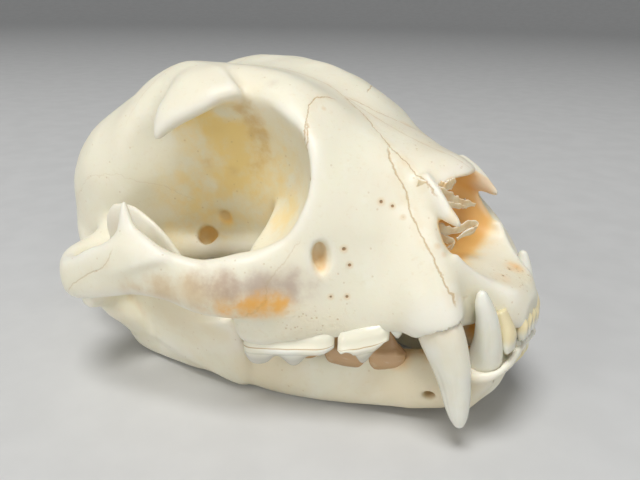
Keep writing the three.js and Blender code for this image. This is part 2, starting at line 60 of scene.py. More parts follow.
MM = 0.001
SEAT = np.array([0.0, 0.3518, -0.0074])   # from the drawing's axes to the frame's, mm
BOX_LOW, BOX_HIGH = np.array(cad_box) / MM - SEAT
INSET = 0.02                              # how far meshes stay inside the solid part's box, mm
CUBE = 0.5                                # side of the small cubes, mm
FAR = 8.0                                 # the distance that an empty cube holds, mm
LEFT, RIGHT = 1, -1
UP_Y = (0, 1, 0)


# ------------------------------------------------------------------ smooth lines and skins

def through(stations, t):
    """Values at t from 0 to 1 on a smooth curve through evenly spaced stations (Catmull-Rom)."""
    table = np.asarray(stations, float)
    place = np.clip(t, 0, 1) * (len(table) - 1)
    start = np.minimum(place.astype(int), len(table) - 2)
    f = (place - start)[:, None]
    a, b, c, d = (table[np.clip(start + k, 0, len(table) - 1)] for k in (-1, 0, 1, 2))
    return 0.5 * (2 * b + (c - a) * f + (2 * a - 5 * b + 4 * c - d) * f ** 2
                  + (3 * b - a - 3 * c + d) * f ** 3)


def unit(v):
    return v / np.linalg.norm(v, axis=-1, keepdims=True)


def limb(stations, rings=36, around=28, up=(0, 0, 1), box=1.0, grow=0.0):
    """A limb's points, rings by around. Stations are x, y, z, half width, half height.

    Each ring is middle + across * width * cos a + high * height * sin a, square to the
    middle line, with cos and sin raised to `box` to square the oval off.
    """
    t = np.linspace(0, 1, rings)
    table = through(stations, t)
    along = unit(through(stations, t + 0.02)[:, :3] - through(stations, t - 0.02)[:, :3])
    across = unit(np.cross(along, np.array(up, float)))
    high = np.cross(across, along)
    a = np.linspace(0, 2 * np.pi, around, endpoint=False)
    c, s = (np.sign(v) * np.abs(v) ** box for v in (np.cos(a), np.sin(a)))
    width, height = table[:, 3] + grow, table[:, 4] + grow
    return (table[:, None, :3]
            + across[:, None] * (width[:, None] * c)[..., None]
            + high[:, None] * (height[:, None] * s)[..., None])


def on_side(points, side):
    """Rings as drawn on the left, or mirrored to the right and still facing outward."""
    return points if side == LEFT else points[:, ::-1] * [-1, 1, 1]


def hull(stations, rings=150, per_span=8):
    """A ship-like hull's points. Each station is y and the left half of its section, [x, z]
    from the middle of the roof to the middle of the floor; a centripetal curve joins them."""
    flat = [[y] + [value for pair in outline for value in pair] for y, outline in stations]
    table = through(flat, np.linspace(0, 1, rings))
    half = table[:, 1:].reshape(rings, -1, 2)
    mirrored = half[:, 1:-1][:, ::-1] * [-1, 1]
    ring = np.concatenate([half, mirrored], axis=1)
    before, here, after, later = (np.roll(ring, shift, axis=1) for shift in (1, 0, -1, -2))
    gap = lambda p, q: np.linalg.norm(q - p, axis=-1, keepdims=True) ** 0.5
    g0, g1, g2 = gap(before, here), gap(here, after), gap(after, later)
    leave = ((here - before) / g0 - (after - before) / (g0 + g1) + (after - here) / g1) * g1
    arrive = ((after - here) / g1 - (later - here) / (g1 + g2) + (later - after) / g2) * g1
    f = np.linspace(0, 1, per_span, endpoint=False)[None, None, :, None]
    here, after, leave, arrive = (v[:, :, None] for v in (here, after, leave, arrive))
    curve = ((2 * f ** 3 - 3 * f ** 2 + 1) * here + (f ** 3 - 2 * f ** 2 + f) * leave
             + (3 * f ** 2 - 2 * f ** 3) * after + (f ** 3 - f ** 2) * arrive)
    curve = curve.reshape(rings, -1, 2)
    y = np.repeat(table[:, :1], curve.shape[1], axis=1)
    return np.stack([curve[..., 0], y, curve[..., 1]], axis=-1)


def skin(points):
    """Corner points, quads and end triangles of a closed tube of rings."""
    rings, around = points.shape[:2]
    row = np.arange(rings - 1)[:, None] * around
    k = np.arange(around)[None]
    n = (k + 1) % around
    quads = np.stack([row + k, row + n, row + around + n, row + around + k], -1).reshape(-1, 4)
    corners = np.concatenate([points.reshape(-1, 3), points[:1].mean(1), points[-1:].mean(1)])
    first, last = rings * around, rings * around + 1
    end = (rings - 1) * around
    k, n = k[0], n[0]
    caps = np.concatenate([np.stack([n, k, np.full(around, first)], -1),
                           np.stack([end + k, end + n, np.full(around, last)], -1)])
    a, b, c = (corners[quads[:, i]] for i in (0, 1, 2))
    if (a * np.cross(b, c)).sum() < 0:
        quads, caps = quads[:, ::-1], caps[:, ::-1]
    return corners, quads, caps


# ------------------------------------------------------------------ distances in small cubes

def melt(a, b, soft):
    """The nearer of two distances, with the crease between them filled over a width `soft`."""
    if soft <= 0:
        return np.minimum(a, b)
    overlap = np.maximum(soft - np.abs(a - b), 0) / soft
    return np.minimum(a, b) - overlap ** 2 * soft / 4


class Room:
    """A block of space in small cubes; each holds the distance to the bone, minus inside it."""

    def __init__(self, low, high):
        self.low = np.floor(np.array(low) / CUBE).astype(int)
        self.size = np.ceil(np.array(high) / CUBE).astype(int) - self.low + 1
        self.value = np.full(tuple(self.size), FAR, np.float32)

    @classmethod
    def holding(cls, value, low):
        """A room round values that are there already, its first cube at `low`."""
        room = cls([0, 0, 0], [0, 0, 0])
        room.value, room.size, room.low = value, np.array(value.shape), low
        return room

    def part(self, low, high):
        """The cubes between two corners: their slices and their first cube."""
        first, last = (np.clip(way(np.array(corner) / CUBE).astype(int),
                               self.low, self.low + self.size - 1)
                       for way, corner in ((np.floor, low), (np.ceil, high)))
        return tuple(slice(a, b + 1) for a, b in zip(first - self.low, last - self.low)), first

    def places(self, where):
        """x, y and z of the cubes in some slices, ready to broadcast."""
        axes = [(np.arange(s.start, s.stop) + low) * CUBE for s, low in zip(where, self.low)]
        return np.meshgrid(*axes, indexing="ij", sparse=True)

    def distance(self, points, band):
        """The distance to a tube's skin within a band round it, and where that is."""
        corners, quads, caps = skin(points)
        grid = vdb.FloatGrid.createLevelSetFromPolygons(
            np.ascontiguousarray(corners, np.float32),
            triangles=np.ascontiguousarray(caps, np.uint32),
            quads=np.ascontiguousarray(quads, np.uint32),
            transform=vdb.createLinearTransform(voxelSize=CUBE),
            halfWidth=band / CUBE)
        where, first = self.part(corners.min(0) - band, corners.max(0) + band)
        block = np.full(self.value[where].shape, band, np.float32)
        grid.copyToArray(block, ijk=tuple(int(k) for k in first))
        return block, where

    def egg(self, centre, radii, turns=()):
        """Distance to an egg: (k - 1) k / m, with k the length of p / r and m of p / r^2."""
        spread = max(radii) + 6
        where, _ = self.part(np.array(centre) - spread, np.array(centre) + spread)
        x, y, z = self.places(where)
        p = np.stack(np.broadcast_arrays(x - centre[0], y - centre[1], z - centre[2]), -1)
        turn = Matrix.Identity(3)
        for axis, degrees in turns:
            turn = Matrix.Rotation(np.radians(degrees), 3, axis) @ turn
        p = p @ np.array(turn)
        k = np.linalg.norm(p / radii, axis=-1)
        m = np.linalg.norm(p / np.square(radii), axis=-1)
        return ((k - 1) * k / np.maximum(m, 1e-6)).astype(np.float32), where

    def join(self, block, where, soft, way=1):
        """Melts a block of distances in, or with `way` -1 takes it out of the bone."""
        self.value[where] = way * melt(way * self.value[where], block, soft)

    def add(self, points, soft):
        self.join(*self.distance(points, soft + 1.0), soft)

    def cut(self, points, soft):
        self.join(*self.distance(points, soft + 1.0), soft, -1)

    def mirrored(self):
        """The room with its other half, mirrored across x = 0; the first cube is at x = 0."""
        return Room.holding(np.concatenate([self.value[:0:-1], self.value]),
                            np.array([1 - self.size[0], *self.low[1:]]))

    def smooth(self, times):
        """Each distance becomes a quarter, half, quarter mean along each axis."""
        v = self.value
        for _ in range(times):
            for axis in range(3):
                v = np.moveaxis(v, axis, 0)
                inner = 0.25 * v[:-2] + 0.5 * v[1:-1] + 0.25 * v[2:]
                v = np.concatenate([v[:1], inner, v[-1:]])
                v = np.moveaxis(v, 0, axis)
        self.value = np.ascontiguousarray(v)

    def sample(self, points):
        """Distances at points, mixed from the eight cubes round each."""
        p = points / CUBE - self.low
        i = np.clip(np.floor(p).astype(int), 0, np.array(self.value.shape) - 2)
        f = np.clip(p - i, 0, 1)
        total = 0
        for dx, dy, dz in np.ndindex(2, 2, 2):
            share = (np.abs(1 - dx - f[:, 0]) * np.abs(1 - dy - f[:, 1])
                     * np.abs(1 - dz - f[:, 2]))
            total = total + share * self.value[i[:, 0] + dx, i[:, 1] + dy, i[:, 2] + dz]
        return total

    def normals(self, points):
        """Outward directions: the steepest growth of the distance."""
        step = CUBE * 0.75
        return unit(np.stack([self.sample(points + step * e) - self.sample(points - step * e)
                              for e in np.eye(3)], -1) + 1e-9)

    def surface(self, adaptivity):
        """Corners, quads and triangles where the distance is nought, facing outward."""
        grid = vdb.FloatGrid(FAR)
        grid.copyFromArray(np.ascontiguousarray(self.value, np.float32),
                           ijk=tuple(int(k) for k in self.low))
        grid.transform = vdb.createLinearTransform(voxelSize=CUBE)
        points, triangles, quads = grid.convertToPolygons(isovalue=0.0, adaptivity=adaptivity)
        return points.astype(float), quads.astype(int), triangles.astype(int)


def ripple(room, spacing, seed):
    """Soft random swells about `spacing` mm apart, -1 to 1: random numbers on a coarse grid,
    mixed with a smooth-step weight along each axis in turn."""
    coarse = np.ceil(room.size * CUBE / spacing).astype(int) + 2
    v = np.random.default_rng(seed).uniform(-1, 1, coarse).astype(np.float32)
    for axis in range(3):
        place = np.arange(room.size[axis]) * CUBE / spacing
        i = place.astype(int)
        f = place - i
        f = (f * f * (3 - 2 * f)).astype(np.float32)
        v = np.moveaxis(v, axis, 0)
        v = v[i] * (1 - f)[:, None, None] + v[i + 1] * f[:, None, None]
        v = np.moveaxis(v, 0, axis)
    return v


# ------------------------------------------------------------------ meshes

def mesh_of(name, points, quads, triangles, normals=None, attributes=None, limit=True):
    """A mesh from arrays of corners, quads and triangles, in metres at its place, its
    corners kept within the solid part's box."""
    if limit:
        points = np.clip(points, BOX_LOW + INSET, BOX_HIGH - INSET)
    mesh = bpy.data.meshes.new(name)
    mesh.vertices.add(len(points))
    mesh.vertices.foreach_set("co", ((points + SEAT) * MM).astype(np.float32).ravel())
    corners = np.concatenate([quads.ravel(), triangles.ravel()]).astype(np.int32)
    starts = np.concatenate([np.arange(len(quads)) * 4,
                             4 * len(quads) + np.arange(len(triangles)) * 3]).astype(np.int32)
    mesh.loops.add(len(corners))
    mesh.loops.foreach_set("vertex_index", corners)
    mesh.polygons.add(len(starts))
    mesh.polygons.foreach_set("loop_start", starts)
    mesh.update(calc_edges=True)
    mesh.validate()
    mesh.shade_smooth()
    if normals is not None:
        mesh.normals_split_custom_set_from_vertices(normals.astype(np.float32))
    for key, values in (attributes or {}).items():
        kind, field = ("FLOAT", "value") if values.ndim == 1 else ("FLOAT_VECTOR", "vector")
        layer = mesh.attributes.new(key, kind, "POINT")
        layer.data.foreach_set(field, values.astype(np.float32).ravel())
    return mesh


def piece(name, mesh, material, replaces=()):
    """A piece of the skull: it rides on the root body and takes its finish from a slot."""
    thing = bpy.data.objects.new(name, mesh)
    bpy.context.scene.collection.objects.link(thing)
    mesh.materials.append(material)
    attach(thing, "root")
    if replaces:
        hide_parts(*replaces)


def tube(name, surfaces, material, replaces=()):
    """A piece made of closed tubes of rings. Each corner keeps `reach`, how far along its tube
    it is, and `turn`, how far round, both from 0 to 1."""
    corners, quads, caps, reach, turn, start = [], [], [], [], [], 0
    for points in surfaces:
        rings, around = points.shape[:2]
        c, q, t = skin(points)
        corners.append(c)
        quads.append(q + start)
        caps.append(t + start)
        reach.append(np.append(np.repeat(np.linspace(0, 1, rings), around), [0, 1]))
        turn.append(np.append(np.tile(np.arange(around) / around, rings), [0, 0]))
        start += len(c)
    mesh = mesh_of(name, np.concatenate(corners), np.concatenate(quads), np.concatenate(caps),
                   attributes={"reach": np.concatenate(reach), "turn": np.concatenate(turn)})
    piece(name, mesh, material, replaces)


# ------------------------------------------------------------------ the lines of the skull

# Snout and face, y and half section: roof, nasal edge, cheek, widest, gum, palate, middle.
SNOUT_LINES = [
    (-71, [[0, 33.5], [2.2, 33.2], [4.2, 31.5], [4.8, 29.5], [4.2, 27.2], [2.2, 26], [0, 26]]),
    (-68.5, [[0, 36.6], [3.2, 36.8], [6, 36], [7.6, 32.5], [7.4, 28.2], [3.5, 27], [0, 27]]),
    (-65, [[0, 39], [4.5, 39.6], [8, 38.8], [9.8, 34], [9.6, 28.2], [4.5, 27.6], [0, 28]]),
    (-61.5, [[0, 44], [6, 44.2], [10.4, 41.8], [12.8, 35.5], [12, 28.6], [6, 28.2], [0, 28.4]]),
    (-58, [[0, 51], [7, 50.4], [12, 46.4], [17.2, 38.5], [18.6, 29.6], [9, 28.2], [0, 28.6]]),
    (-54.5, [[0, 58.6], [7.4, 55.8], [13, 49.6], [19, 40.5], [21, 29], [11, 27.8], [0, 28.4]]),
    (-50, [[0, 61.4], [8, 58.8], [14, 51.6], [20, 41], [21.8, 28], [12, 27.4], [0, 28.2]]),
    (-44, [[0, 63], [9, 61], [15.6, 53.4], [21.2, 42], [23, 26], [14, 27], [0, 28]]),
    (-38, [[0, 64.8], [10.4, 63.4], [18.6, 56.4], [24.4, 43], [26.4, 24.6], [17, 26.6], [0, 27.8]]),
    (-32, [[0, 66.8], [11.2, 66.2], [21, 60.6], [28.2, 46], [29.6, 23.4], [19, 26.2], [0, 27.4]]),
    (-26, [[0, 69.4], [11.8, 69.8], [22.4, 65.4], [30.8, 47], [32.4, 22], [20.5, 25.8], [0, 27]]),
    (-20, [[0, 72], [12.2, 73.4], [21.2, 68.8], [34, 45], [34.4, 20.4], [21.8, 25.4], [0, 26.6]]),
    (-13.5, [[0, 74.4], [12.4, 75.8], [18.6, 71], [32.8, 43], [32.6, 21.4], [21.6, 25], [0, 26]]),
    (-8.5, [[0, 73], [11, 73], [15, 68], [20, 44], [21, 31], [13.5, 28], [0, 27.4]]),
]

# Forehead, walls between the orbits and braincase: roof, boss, brow, waist, side, base, floor.
CASE_LINES = [
    (-30, [[0, 66.8], [9, 66.8], [17, 61.5], [14, 52], [13, 44], [10, 33], [0, 30]]),
    (-21, [[0, 71.6], [11, 73.2], [19.6, 68], [13.2, 58], [12.4, 46], [10, 33.5], [0, 29]]),
    (-12, [[0, 75.2], [12, 77], [18.4, 72.6], [12.6, 61], [11.4, 46], [9, 33], [0, 28]]),
    (-3, [[0, 76.8], [13, 78.4], [19.2, 73.4], [13.2, 62], [11.8, 46], [8.6, 32], [0, 27]]),
    (6, [[0, 77.2], [14.4, 78.8], [24, 74.6], [17, 62], [13.6, 46], [9, 31], [0, 26.6]]),
    (13, [[0, 77], [15.4, 79], [23, 73.2], [19.6, 61.4], [16, 46], [10.5, 30], [0, 26]]),
    (20, [[0, 76], [15, 77.8], [22.6, 71], [23.2, 59.5], [21.4, 46], [14, 29.5], [0, 25.4]]),
    (27, [[0, 74.2], [14.6, 74.8], [24.2, 67.4], [27.6, 56], [27.4, 44.5], [19, 29], [0, 24.6]]),
    (34, [[0, 71.6], [14.2, 70.4], [24.2, 63.4], [29.2, 53.4], [29.8, 43], [24, 28.6], [0, 24]]),
    (41, [[0, 68.2], [13.2, 66.6], [23.8, 61], [29.4, 51.6], [30.2, 41.2], [27.6, 28], [0, 23.4]]),
    (48, [[0, 63.8], [11.8, 62], [21.8, 57.4], [27.2, 49.2], [28.2, 39.6], [25.4, 27.4], [0, 23]]),
    (55, [[0, 58.2], [9.8, 56.4], [18, 52], [22.6, 45.4], [23, 38.2], [20.4, 25.6], [0, 22.4]]),
    (62, [[0, 52], [7.6, 50.4], [12.6, 46.6], [15.8, 42.4], [16.6, 37], [15, 26.6], [0, 23]]),
    (67, [[0, 47.6], [5.4, 46.8], [9, 44.4], [11.4, 41], [12, 36.6], [11, 28.6], [0, 26]]),
    (71, [[0, 43.6], [2.6, 43.2], [5, 42], [6.2, 40], [6, 37.6], [4, 35.6], [0, 35]]),
]

# Limbs: x, y, z of the middle line, half width, half height.
ARCH = [
    [23.4, -31, 35.6, 2, 5], [29.4, -25.4, 35.4, 3.8, 8.4], [36, -19.2, 35.6, 4.2, 7.6],
    [41, -11, 35, 3.3, 6.4], [44.2, -3, 36.6, 2.6, 5.9], [46.2, 5, 37.2, 2.4, 6.3],
    [47.4, 13, 34.8, 2.3, 6.2], [48, 20.5, 31.6, 2.3, 5.4], [46.6, 27, 29.8, 2.8, 5.2],
    [41.5, 31.4, 30, 3.8, 5], [33.5, 31.4, 31.4, 5, 4.8], [25, 31.4, 33.4, 6.6, 6],
]
JUGAL_SPIKE = [
    [46, 4.5, 38, 2.2, 9.6], [45.5, 6.4, 42.4, 1.9, 6.2], [44.9, 7.6, 45.6, 1.4, 2.9],
    [44.2, 8.5, 48.8, 1, 1.5], [43.6, 9.2, 52.2, 0.5, 0.5],
]
BROW_SPIKE = [
    [17, 3, 74.2, 3.6, 9.6], [23, 5.6, 72.8, 3.2, 7.8], [27.8, 8.6, 68.8, 2.4, 4.8],
    [30.2, 10.2, 65.2, 1.6, 2.4], [31.4, 11, 62.6, 0.6, 0.7],
]
NOSE_OPENING = [
    [0, -77, 45, 14, 11], [0, -64, 46.8, 12.8, 9], [0, -57, 48.6, 13.2, 9.2],
    [0, -50, 49.8, 11, 8.4], [0, -43, 50.4, 7.6, 7], [0, -36, 51, 3.6, 3.4],
]
NASAL_SPIKE = [
    [9.6, -46, 57, 1.4, 3.8], [11.3, -50.4, 54.9, 1.3, 2.8], [12.3, -53.6, 52.8, 1.1, 1.8],
    [12.6, -55.8, 51.5, 0.9, 1.2], [12.7, -57.5, 50.3, 0.45, 0.45],
]
NOSE_NOTCH = [
    [12.6, -50.2, 53.2, 3, 0.3], [13, -51.8, 51.8, 3, 0.7], [13.4, -53.4, 50.2, 3.4, 1.4],
    [13.6, -55.4, 48.6, 3.8, 2.3], [13.6, -58, 46.8, 4, 3.2],
]
CANINE_SWELLING = [
    [14.6, -43, 49, 1.5, 3], [16, -48.6, 42, 3.6, 5.6], [18, -53.4, 35.8, 4.4, 6.6],
    [18.9, -56.2, 31, 4.6, 6.5], [18.9, -57.2, 28.8, 4, 5.6],
]
EAR_HOLE = [[30, 35, 30, 2.6, 3], [24, 36, 28, 2.2, 2.6], [20, 37, 27, 1.6, 2]]
WING = [
    [8, -12, 33, 1, 2], [10.6, -2, 32, 1.6, 2.4], [13.2, 9, 30.6, 2.2, 2.6],
    [15.2, 16, 29.2, 2.8, 3.4], [16.6, 20.5, 28.6, 3.4, 4.2], [18, 26, 29, 4, 5],
]
PTERYGOID = [
    [9.4, -14, 26, 2, 5.4], [8.6, -4, 25, 1.3, 6.4], [8.4, 6, 24, 1.1, 6.4],
    [8.6, 13, 22, 1.1, 4.8], [9.2, 17.4, 18.4, 0.8, 1.8],
]
MASTOID = [[24, 45, 32, 4.2, 6], [27.4, 43, 28, 3.2, 4.2], [28, 42.6, 23.6, 1.6, 2]]
PARAMASTOID = [[15, 56, 27, 3, 4], [16, 55.4, 22, 2.2, 3], [16.4, 54.4, 17.6, 0.9, 1.2]]
CONDYLE_KNOB = [[6, 61, 21.6, 3.4, 3.2], [9, 64.4, 25, 3.8, 4.2], [9.4, 63.4, 30.6, 2.6, 3]]
GREAT_FORAMEN = [[0, 78, 28.6, 7.4, 6.4], [0, 64, 29.4, 6.8, 6], [0, 54, 32, 5, 5]]
POSTGLENOID = [[31, 33.6, 28, 6, 2.6], [32, 33.8, 23, 5, 2], [32.4, 33.4, 19.6, 2, 1]]
NUCHAL_RIDGE = [
    [0.2, 69.6, 42.6, 1.4, 1.8], [8.4, 68, 41.8, 1.3, 2.4], [15.2, 62.6, 39, 1.2, 2.6],
    [20.4, 56, 36, 1.2, 2.6], [25.2, 48.6, 32, 1.4, 2.6], [27.6, 43.6, 28.4, 1.6, 2],
]
CROWN_RIDGE = [
    [0, 40, 66.4, 0.8, 1], [0, 50, 61, 1, 1.6], [0, 60, 54.2, 1, 1.8], [0, 68.4, 46, 1, 1.6],
]
CHEEK_HOLE = [
    [31.6, -36.8, 42.4, 2.5, 4.2], [28.4, -33.4, 42.9, 2.1, 3.6], [26, -30.6, 43.3, 1.2, 2.4],
]

UPPER_CANINE = [
    [18.8, -54.6, 34.4, 2.4, 3.6], [18.9, -57.2, 29, 3.6, 5.2], [18.6, -60, 22.4, 3.3, 4.5],
    [18.2, -61.4, 17.2, 2.9, 3.6], [17.9, -62.3, 12.4, 2.5, 2.9], [17.8, -63, 8.8, 1.8, 2],
    [17.8, -63.5, 6.4, 0.8, 0.8],
]
LOWER_CANINE = [
    [9.3, -62, 12, 2.2, 2.6], [9.6, -63.7, 16.4, 3.1, 3.5], [10.3, -65, 21.4, 3.2, 3.7],
    [11.4, -65.4, 26, 2.8, 3.1], [12.6, -65, 31.4, 2.3, 2.4], [13.6, -64.1, 35.4, 1.75, 1.75],
    [14, -63.6, 38.2, 0.8, 0.8],
]

JAW_BODY = [
    [2.6, -68.6, 21, 2.5, 1.8], [3.9, -66.2, 18.5, 3.9, 3], [5.6, -62.6, 15, 5.1, 5.6],
    [7.9, -57.8, 12.2, 5, 6.8], [10.9, -50, 10.2, 4.4, 7.4], [14.6, -40, 9.3, 3.9, 7.6],
    [18.4, -28, 8.4, 3.9, 8.2], [21.4, -17, 8.4, 3.9, 8.4], [23.6, -7, 9.2, 3.7, 8.8],
    [25.2, 2, 9.8, 3.3, 9], [26.4, 11, 9.4, 2.9, 8.8], [26.8, 19, 7.6, 2.6, 7.3],
    [26.8, 25.4, 5.6, 2.1, 5.3], [27, 29.6, 4.6, 1, 2],
]
JAW_BLADE = [
    [26.2, 8, 6, 2.4, 17], [27.6, 6.6, 12, 2.4, 18.4], [29.6, 8.6, 18, 2.2, 18],
    [31.6, 9.4, 24, 1.9, 14.6], [33.4, 10.6, 29.6, 1.7, 12.2], [34.8, 13.4, 35, 1.6, 11.6],
    [35.8, 18, 39.6, 1.4, 10], [36.2, 21.6, 42.8, 1.1, 6.4], [36.3, 23.6, 44.6, 0.7, 2.6],
]
JAW_NECK = [
    [27, 24.4, 4.4, 2, 3.4], [29.4, 24.4, 8.6, 2.4, 4.2], [32, 25.4, 13, 2.8, 4],
    [34.4, 26.6, 17.4, 4, 3.2], [35.4, 27.2, 21.2, 5, 2.8],
]
JAW_HINGE = [
    [24.4, 28.2, 21.8, 2.2, 2], [28, 28, 22.4, 3.3, 3.2], [35, 27.4, 22.8, 3.6, 3.6],
    [41, 26.6, 22.4, 3.2, 3.2], [44, 26.2, 22, 1.8, 1.8],
]
JAW_SWELLING = [
    [9.6, -58.5, 7.4, 2.6, 3.6], [10, -60.4, 10.6, 3.8, 3.9], [10.2, -61.8, 14.2, 4.1, 4.3],
    [10.4, -63.4, 17.4, 4.1, 4.6], [10.4, -63.9, 19.2, 3.5, 4.2],
]
JAW_LIP = [
    [11.6, -57, 14.8, 0.9, 1], [13.6, -60, 16.2, 1, 1.1], [14.2, -63.4, 17.3, 1, 1.1],
    [13.8, -66.2, 18.1, 0.95, 1.1], [12, -68.4, 19.2, 0.95, 1.1], [9.2, -69.6, 20.2, 0.9, 1.1],
    [5.4, -70.1, 21.2, 0.85, 1.1], [1.6, -70.2, 22, 0.8, 1], [-1.6, -70.2, 22, 0.8, 1],
]
CHIN_HOLE = [[14.6, -54.4, 8.6, 1.6, 1.3], [10.6, -53.2, 9, 1.3, 1.1]]

# Cheek teeth: z of the gum at their front and back ends; x, y, z of the cutting edge and
# half width of the collar.
UPPER_PREMOLAR_2 = (28, 27.4, [[20, -49.2, 26.2, 0.6], [20.2, -48.2, 24.8, 0.9],
                               [20.8, -46.8, 26.2, 0.6]])
UPPER_PREMOLAR_3 = (24.9, 21.7, [
    [21.4, -46.8, 25.2, 0.9], [22.2, -45.4, 23, 1.6], [23, -44, 21.2, 2], [23.8, -42.6, 18.8, 2.1],
    [24.4, -41.6, 18.6, 2.1], [25, -40.2, 20.8, 2.1], [25.6, -39, 21.3, 2], [26.1, -38, 20.7, 1.9],
    [26.6, -36.9, 21.8, 1.2],
])
UPPER_CARNASSIAL = (22.6, 19.2, [
    [27, -36.2, 21.6, 1.1], [27.4, -35, 20.4, 1.9], [27.9, -33.4, 19.4, 2.2], [28.3, -31.8, 19, 2.3],
    [28.8, -30, 18, 2.4], [29.3, -28.2, 15.8, 2.5], [29.9, -26.6, 15.2, 2.5], [30.6, -24.6, 16.8, 2.4],
    [31.2, -23, 17, 2.3], [31.9, -21, 15, 2.2], [32.6, -19, 14.2, 2.1], [33.2, -17.2, 14.6, 1.8],
    [33.6, -15.8, 16.8, 1.1],
])
LOWER_PREMOLAR_3 = (17.6, 16.8, [
    [14.2, -47.8, 18, 1], [14.8, -46.2, 19.6, 1.8], [15.4, -44.4, 22.8, 2.1],
    [15.8, -43.2, 23.2, 2.2], [16.5, -41.4, 20.2, 2], [17, -39.8, 18.6, 1.3],
])
LOWER_PREMOLAR_4 = (16.8, 16.6, [
    [17.3, -39.2, 18.6, 1.2], [17.8, -37.8, 20.4, 1.9], [18.3, -36, 22.6, 2.3],
    [18.8, -34.4, 24.6, 2.4], [19.3, -32.8, 22.6, 2.3], [19.9, -31, 20.8, 2.1],
    [20.3, -29.6, 18.8, 1.4],
])
LOWER_CARNASSIAL = (16.6, 16.8, [
    [20.5, -29, 18.8, 1.2], [21, -27, 21.6, 2.1], [21.5, -25, 24.4, 2.4],
    [22, -22.8, 22, 2.4], [22.4, -21.4, 20.4, 2.3], [22.9, -19.4, 23, 2.3],
    [23.4, -17.6, 24.8, 2.2], [23.9, -15.8, 22, 1.9], [24.2, -14.4, 18.4, 1.2],
])
# Incisors: x, y, z of the edge, x, y, z of the root, half width.
UPPER_INCISORS = [
    [1.5, -71, 24.6, 1.4, -68.6, 31, 1.05], [4.1, -70.6, 24.4, 4, -68.2, 31, 1.3],
    [8.6, -69.4, 23.2, 9.4, -66.6, 32.6, 2.3],
]
LOWER_INCISORS = [
    [1.2, -69.8, 23.6, 1.1, -67.4, 16, 0.8], [3.1, -69.4, 23.8, 2.9, -67, 16, 0.95],
    [5.2, -68.6, 24, 4.8, -66.4, 16, 1.15],
]

# Section of a cheek tooth from root to edge: mm below the gum (above it for a lower tooth),
# share of what is left of the crown below the collar, and thickness.
COLLAR = 1.9
TOOTH_DROP = np.array([-4, -1.4, 0, 0.4, 0.95, 1.5] + [COLLAR] * 7)
TOOTH_SHARE = np.array([0, 0, 0, 0, 0, 0, 0, 0.12, 0.32, 0.55, 0.78, 0.93, 1])
TOOTH_THICK = np.array([0.5, 0.72, 0.92, 1.04, 1.1, 1.02, 0.82, 0.66, 0.52, 0.38, 0.25, 0.15, 0])


# ------------------------------------------------------------------ teeth

def blade(side, tooth, way, rings=90):
    """A cheek tooth: its section carried along its cutting edge. Height = gum + way * (drop +
    share * (crown - collar)), out = thickness * half width on both faces; `way` is -1 for an
    upper tooth."""
    front, back, stations = tooth
    u = np.linspace(0, 1, rings)
    x, y, edge, half = through(stations, u).T
    half = half * np.maximum(1 - np.abs(2 * u - 1) ** 8, 0.04) ** 0.5
    gum = front + (back - front) * u
    crown = np.maximum(way * (edge - gum), 0.5)
    collar = np.minimum(COLLAR, 0.75 * crown)
    count = len(TOOTH_DROP)
    there_and_back = [*range(count), *range(count - 2, -1, -1)]
    drop, share, thick = (table[there_and_back] for table in (TOOTH_DROP, TOOTH_SHARE, TOOTH_THICK))
    drop = np.where(drop > 0, drop * (collar / COLLAR)[:, None], drop)
    across = half[:, None] * thick * np.repeat([1, -1], [count, count - 1])
    rise = drop + share * (crown - collar)[:, None]
    return on_side(np.stack([x[:, None] + across, y[:, None] - 0.25 * across,
                             gum[:, None] + way * rise], -1), side)


def incisor(side, x, y, z, root_x, root_y, root_z, half):
    """A peg-like incisor: a limb from its root, widest near its edge, rounded off there."""
    root, tip = np.array([root_x, root_y, root_z]), np.array([x, y, z])
    middle = lambda f, bow: [*(root + (tip - root) * f + [0, -bow, 0])]
    return on_side(limb([
        [*root, half * 0.7, 1.3], middle(0.3, 0.5) + [half * 0.8, 1.6],
        middle(0.55, 0.7) + [half * 0.95, 1.7], middle(0.8, 0.4) + [half, 1.35],
        middle(0.95, 0.1) + [half * 0.86, 0.8], middle(1, 0) + [half * 0.5, 0.35],
    ], 28, 24, up=UP_Y), side)


def fang(side, stations, grooves):
    """A canine tooth: a limb whose rings are drawn in by fine lengthwise grooves, each
    radius * (1 - depth * exp(-((turn - place) / width)^2)) between two reaches, and whose
    last rings close as sqrt(1 - f^2)."""
    rings, around = 90, 72
    points = limb(stations, rings, around, up=UP_Y)
    middle = points.mean(1, keepdims=True)
    turn = np.arange(around) / around
    reach = np.linspace(0, 1, rings)[:, None]
    shrink = np.ones((rings, around))
    for place, width, depth, start, stop in grooves:
        gap = np.abs((turn - place + 0.5) % 1 - 0.5)
        fade = np.clip((reach - start) / 0.12, 0, 1) * np.clip((stop - reach) / 0.2, 0, 1)
        shrink -= depth * fade * np.exp(-(gap / width) ** 2)
    shrink *= np.sqrt(1 - np.clip((reach - 0.93) / 0.07, 0, 1) ** 2)
    return on_side(middle + (points - middle) * shrink[..., None], side)


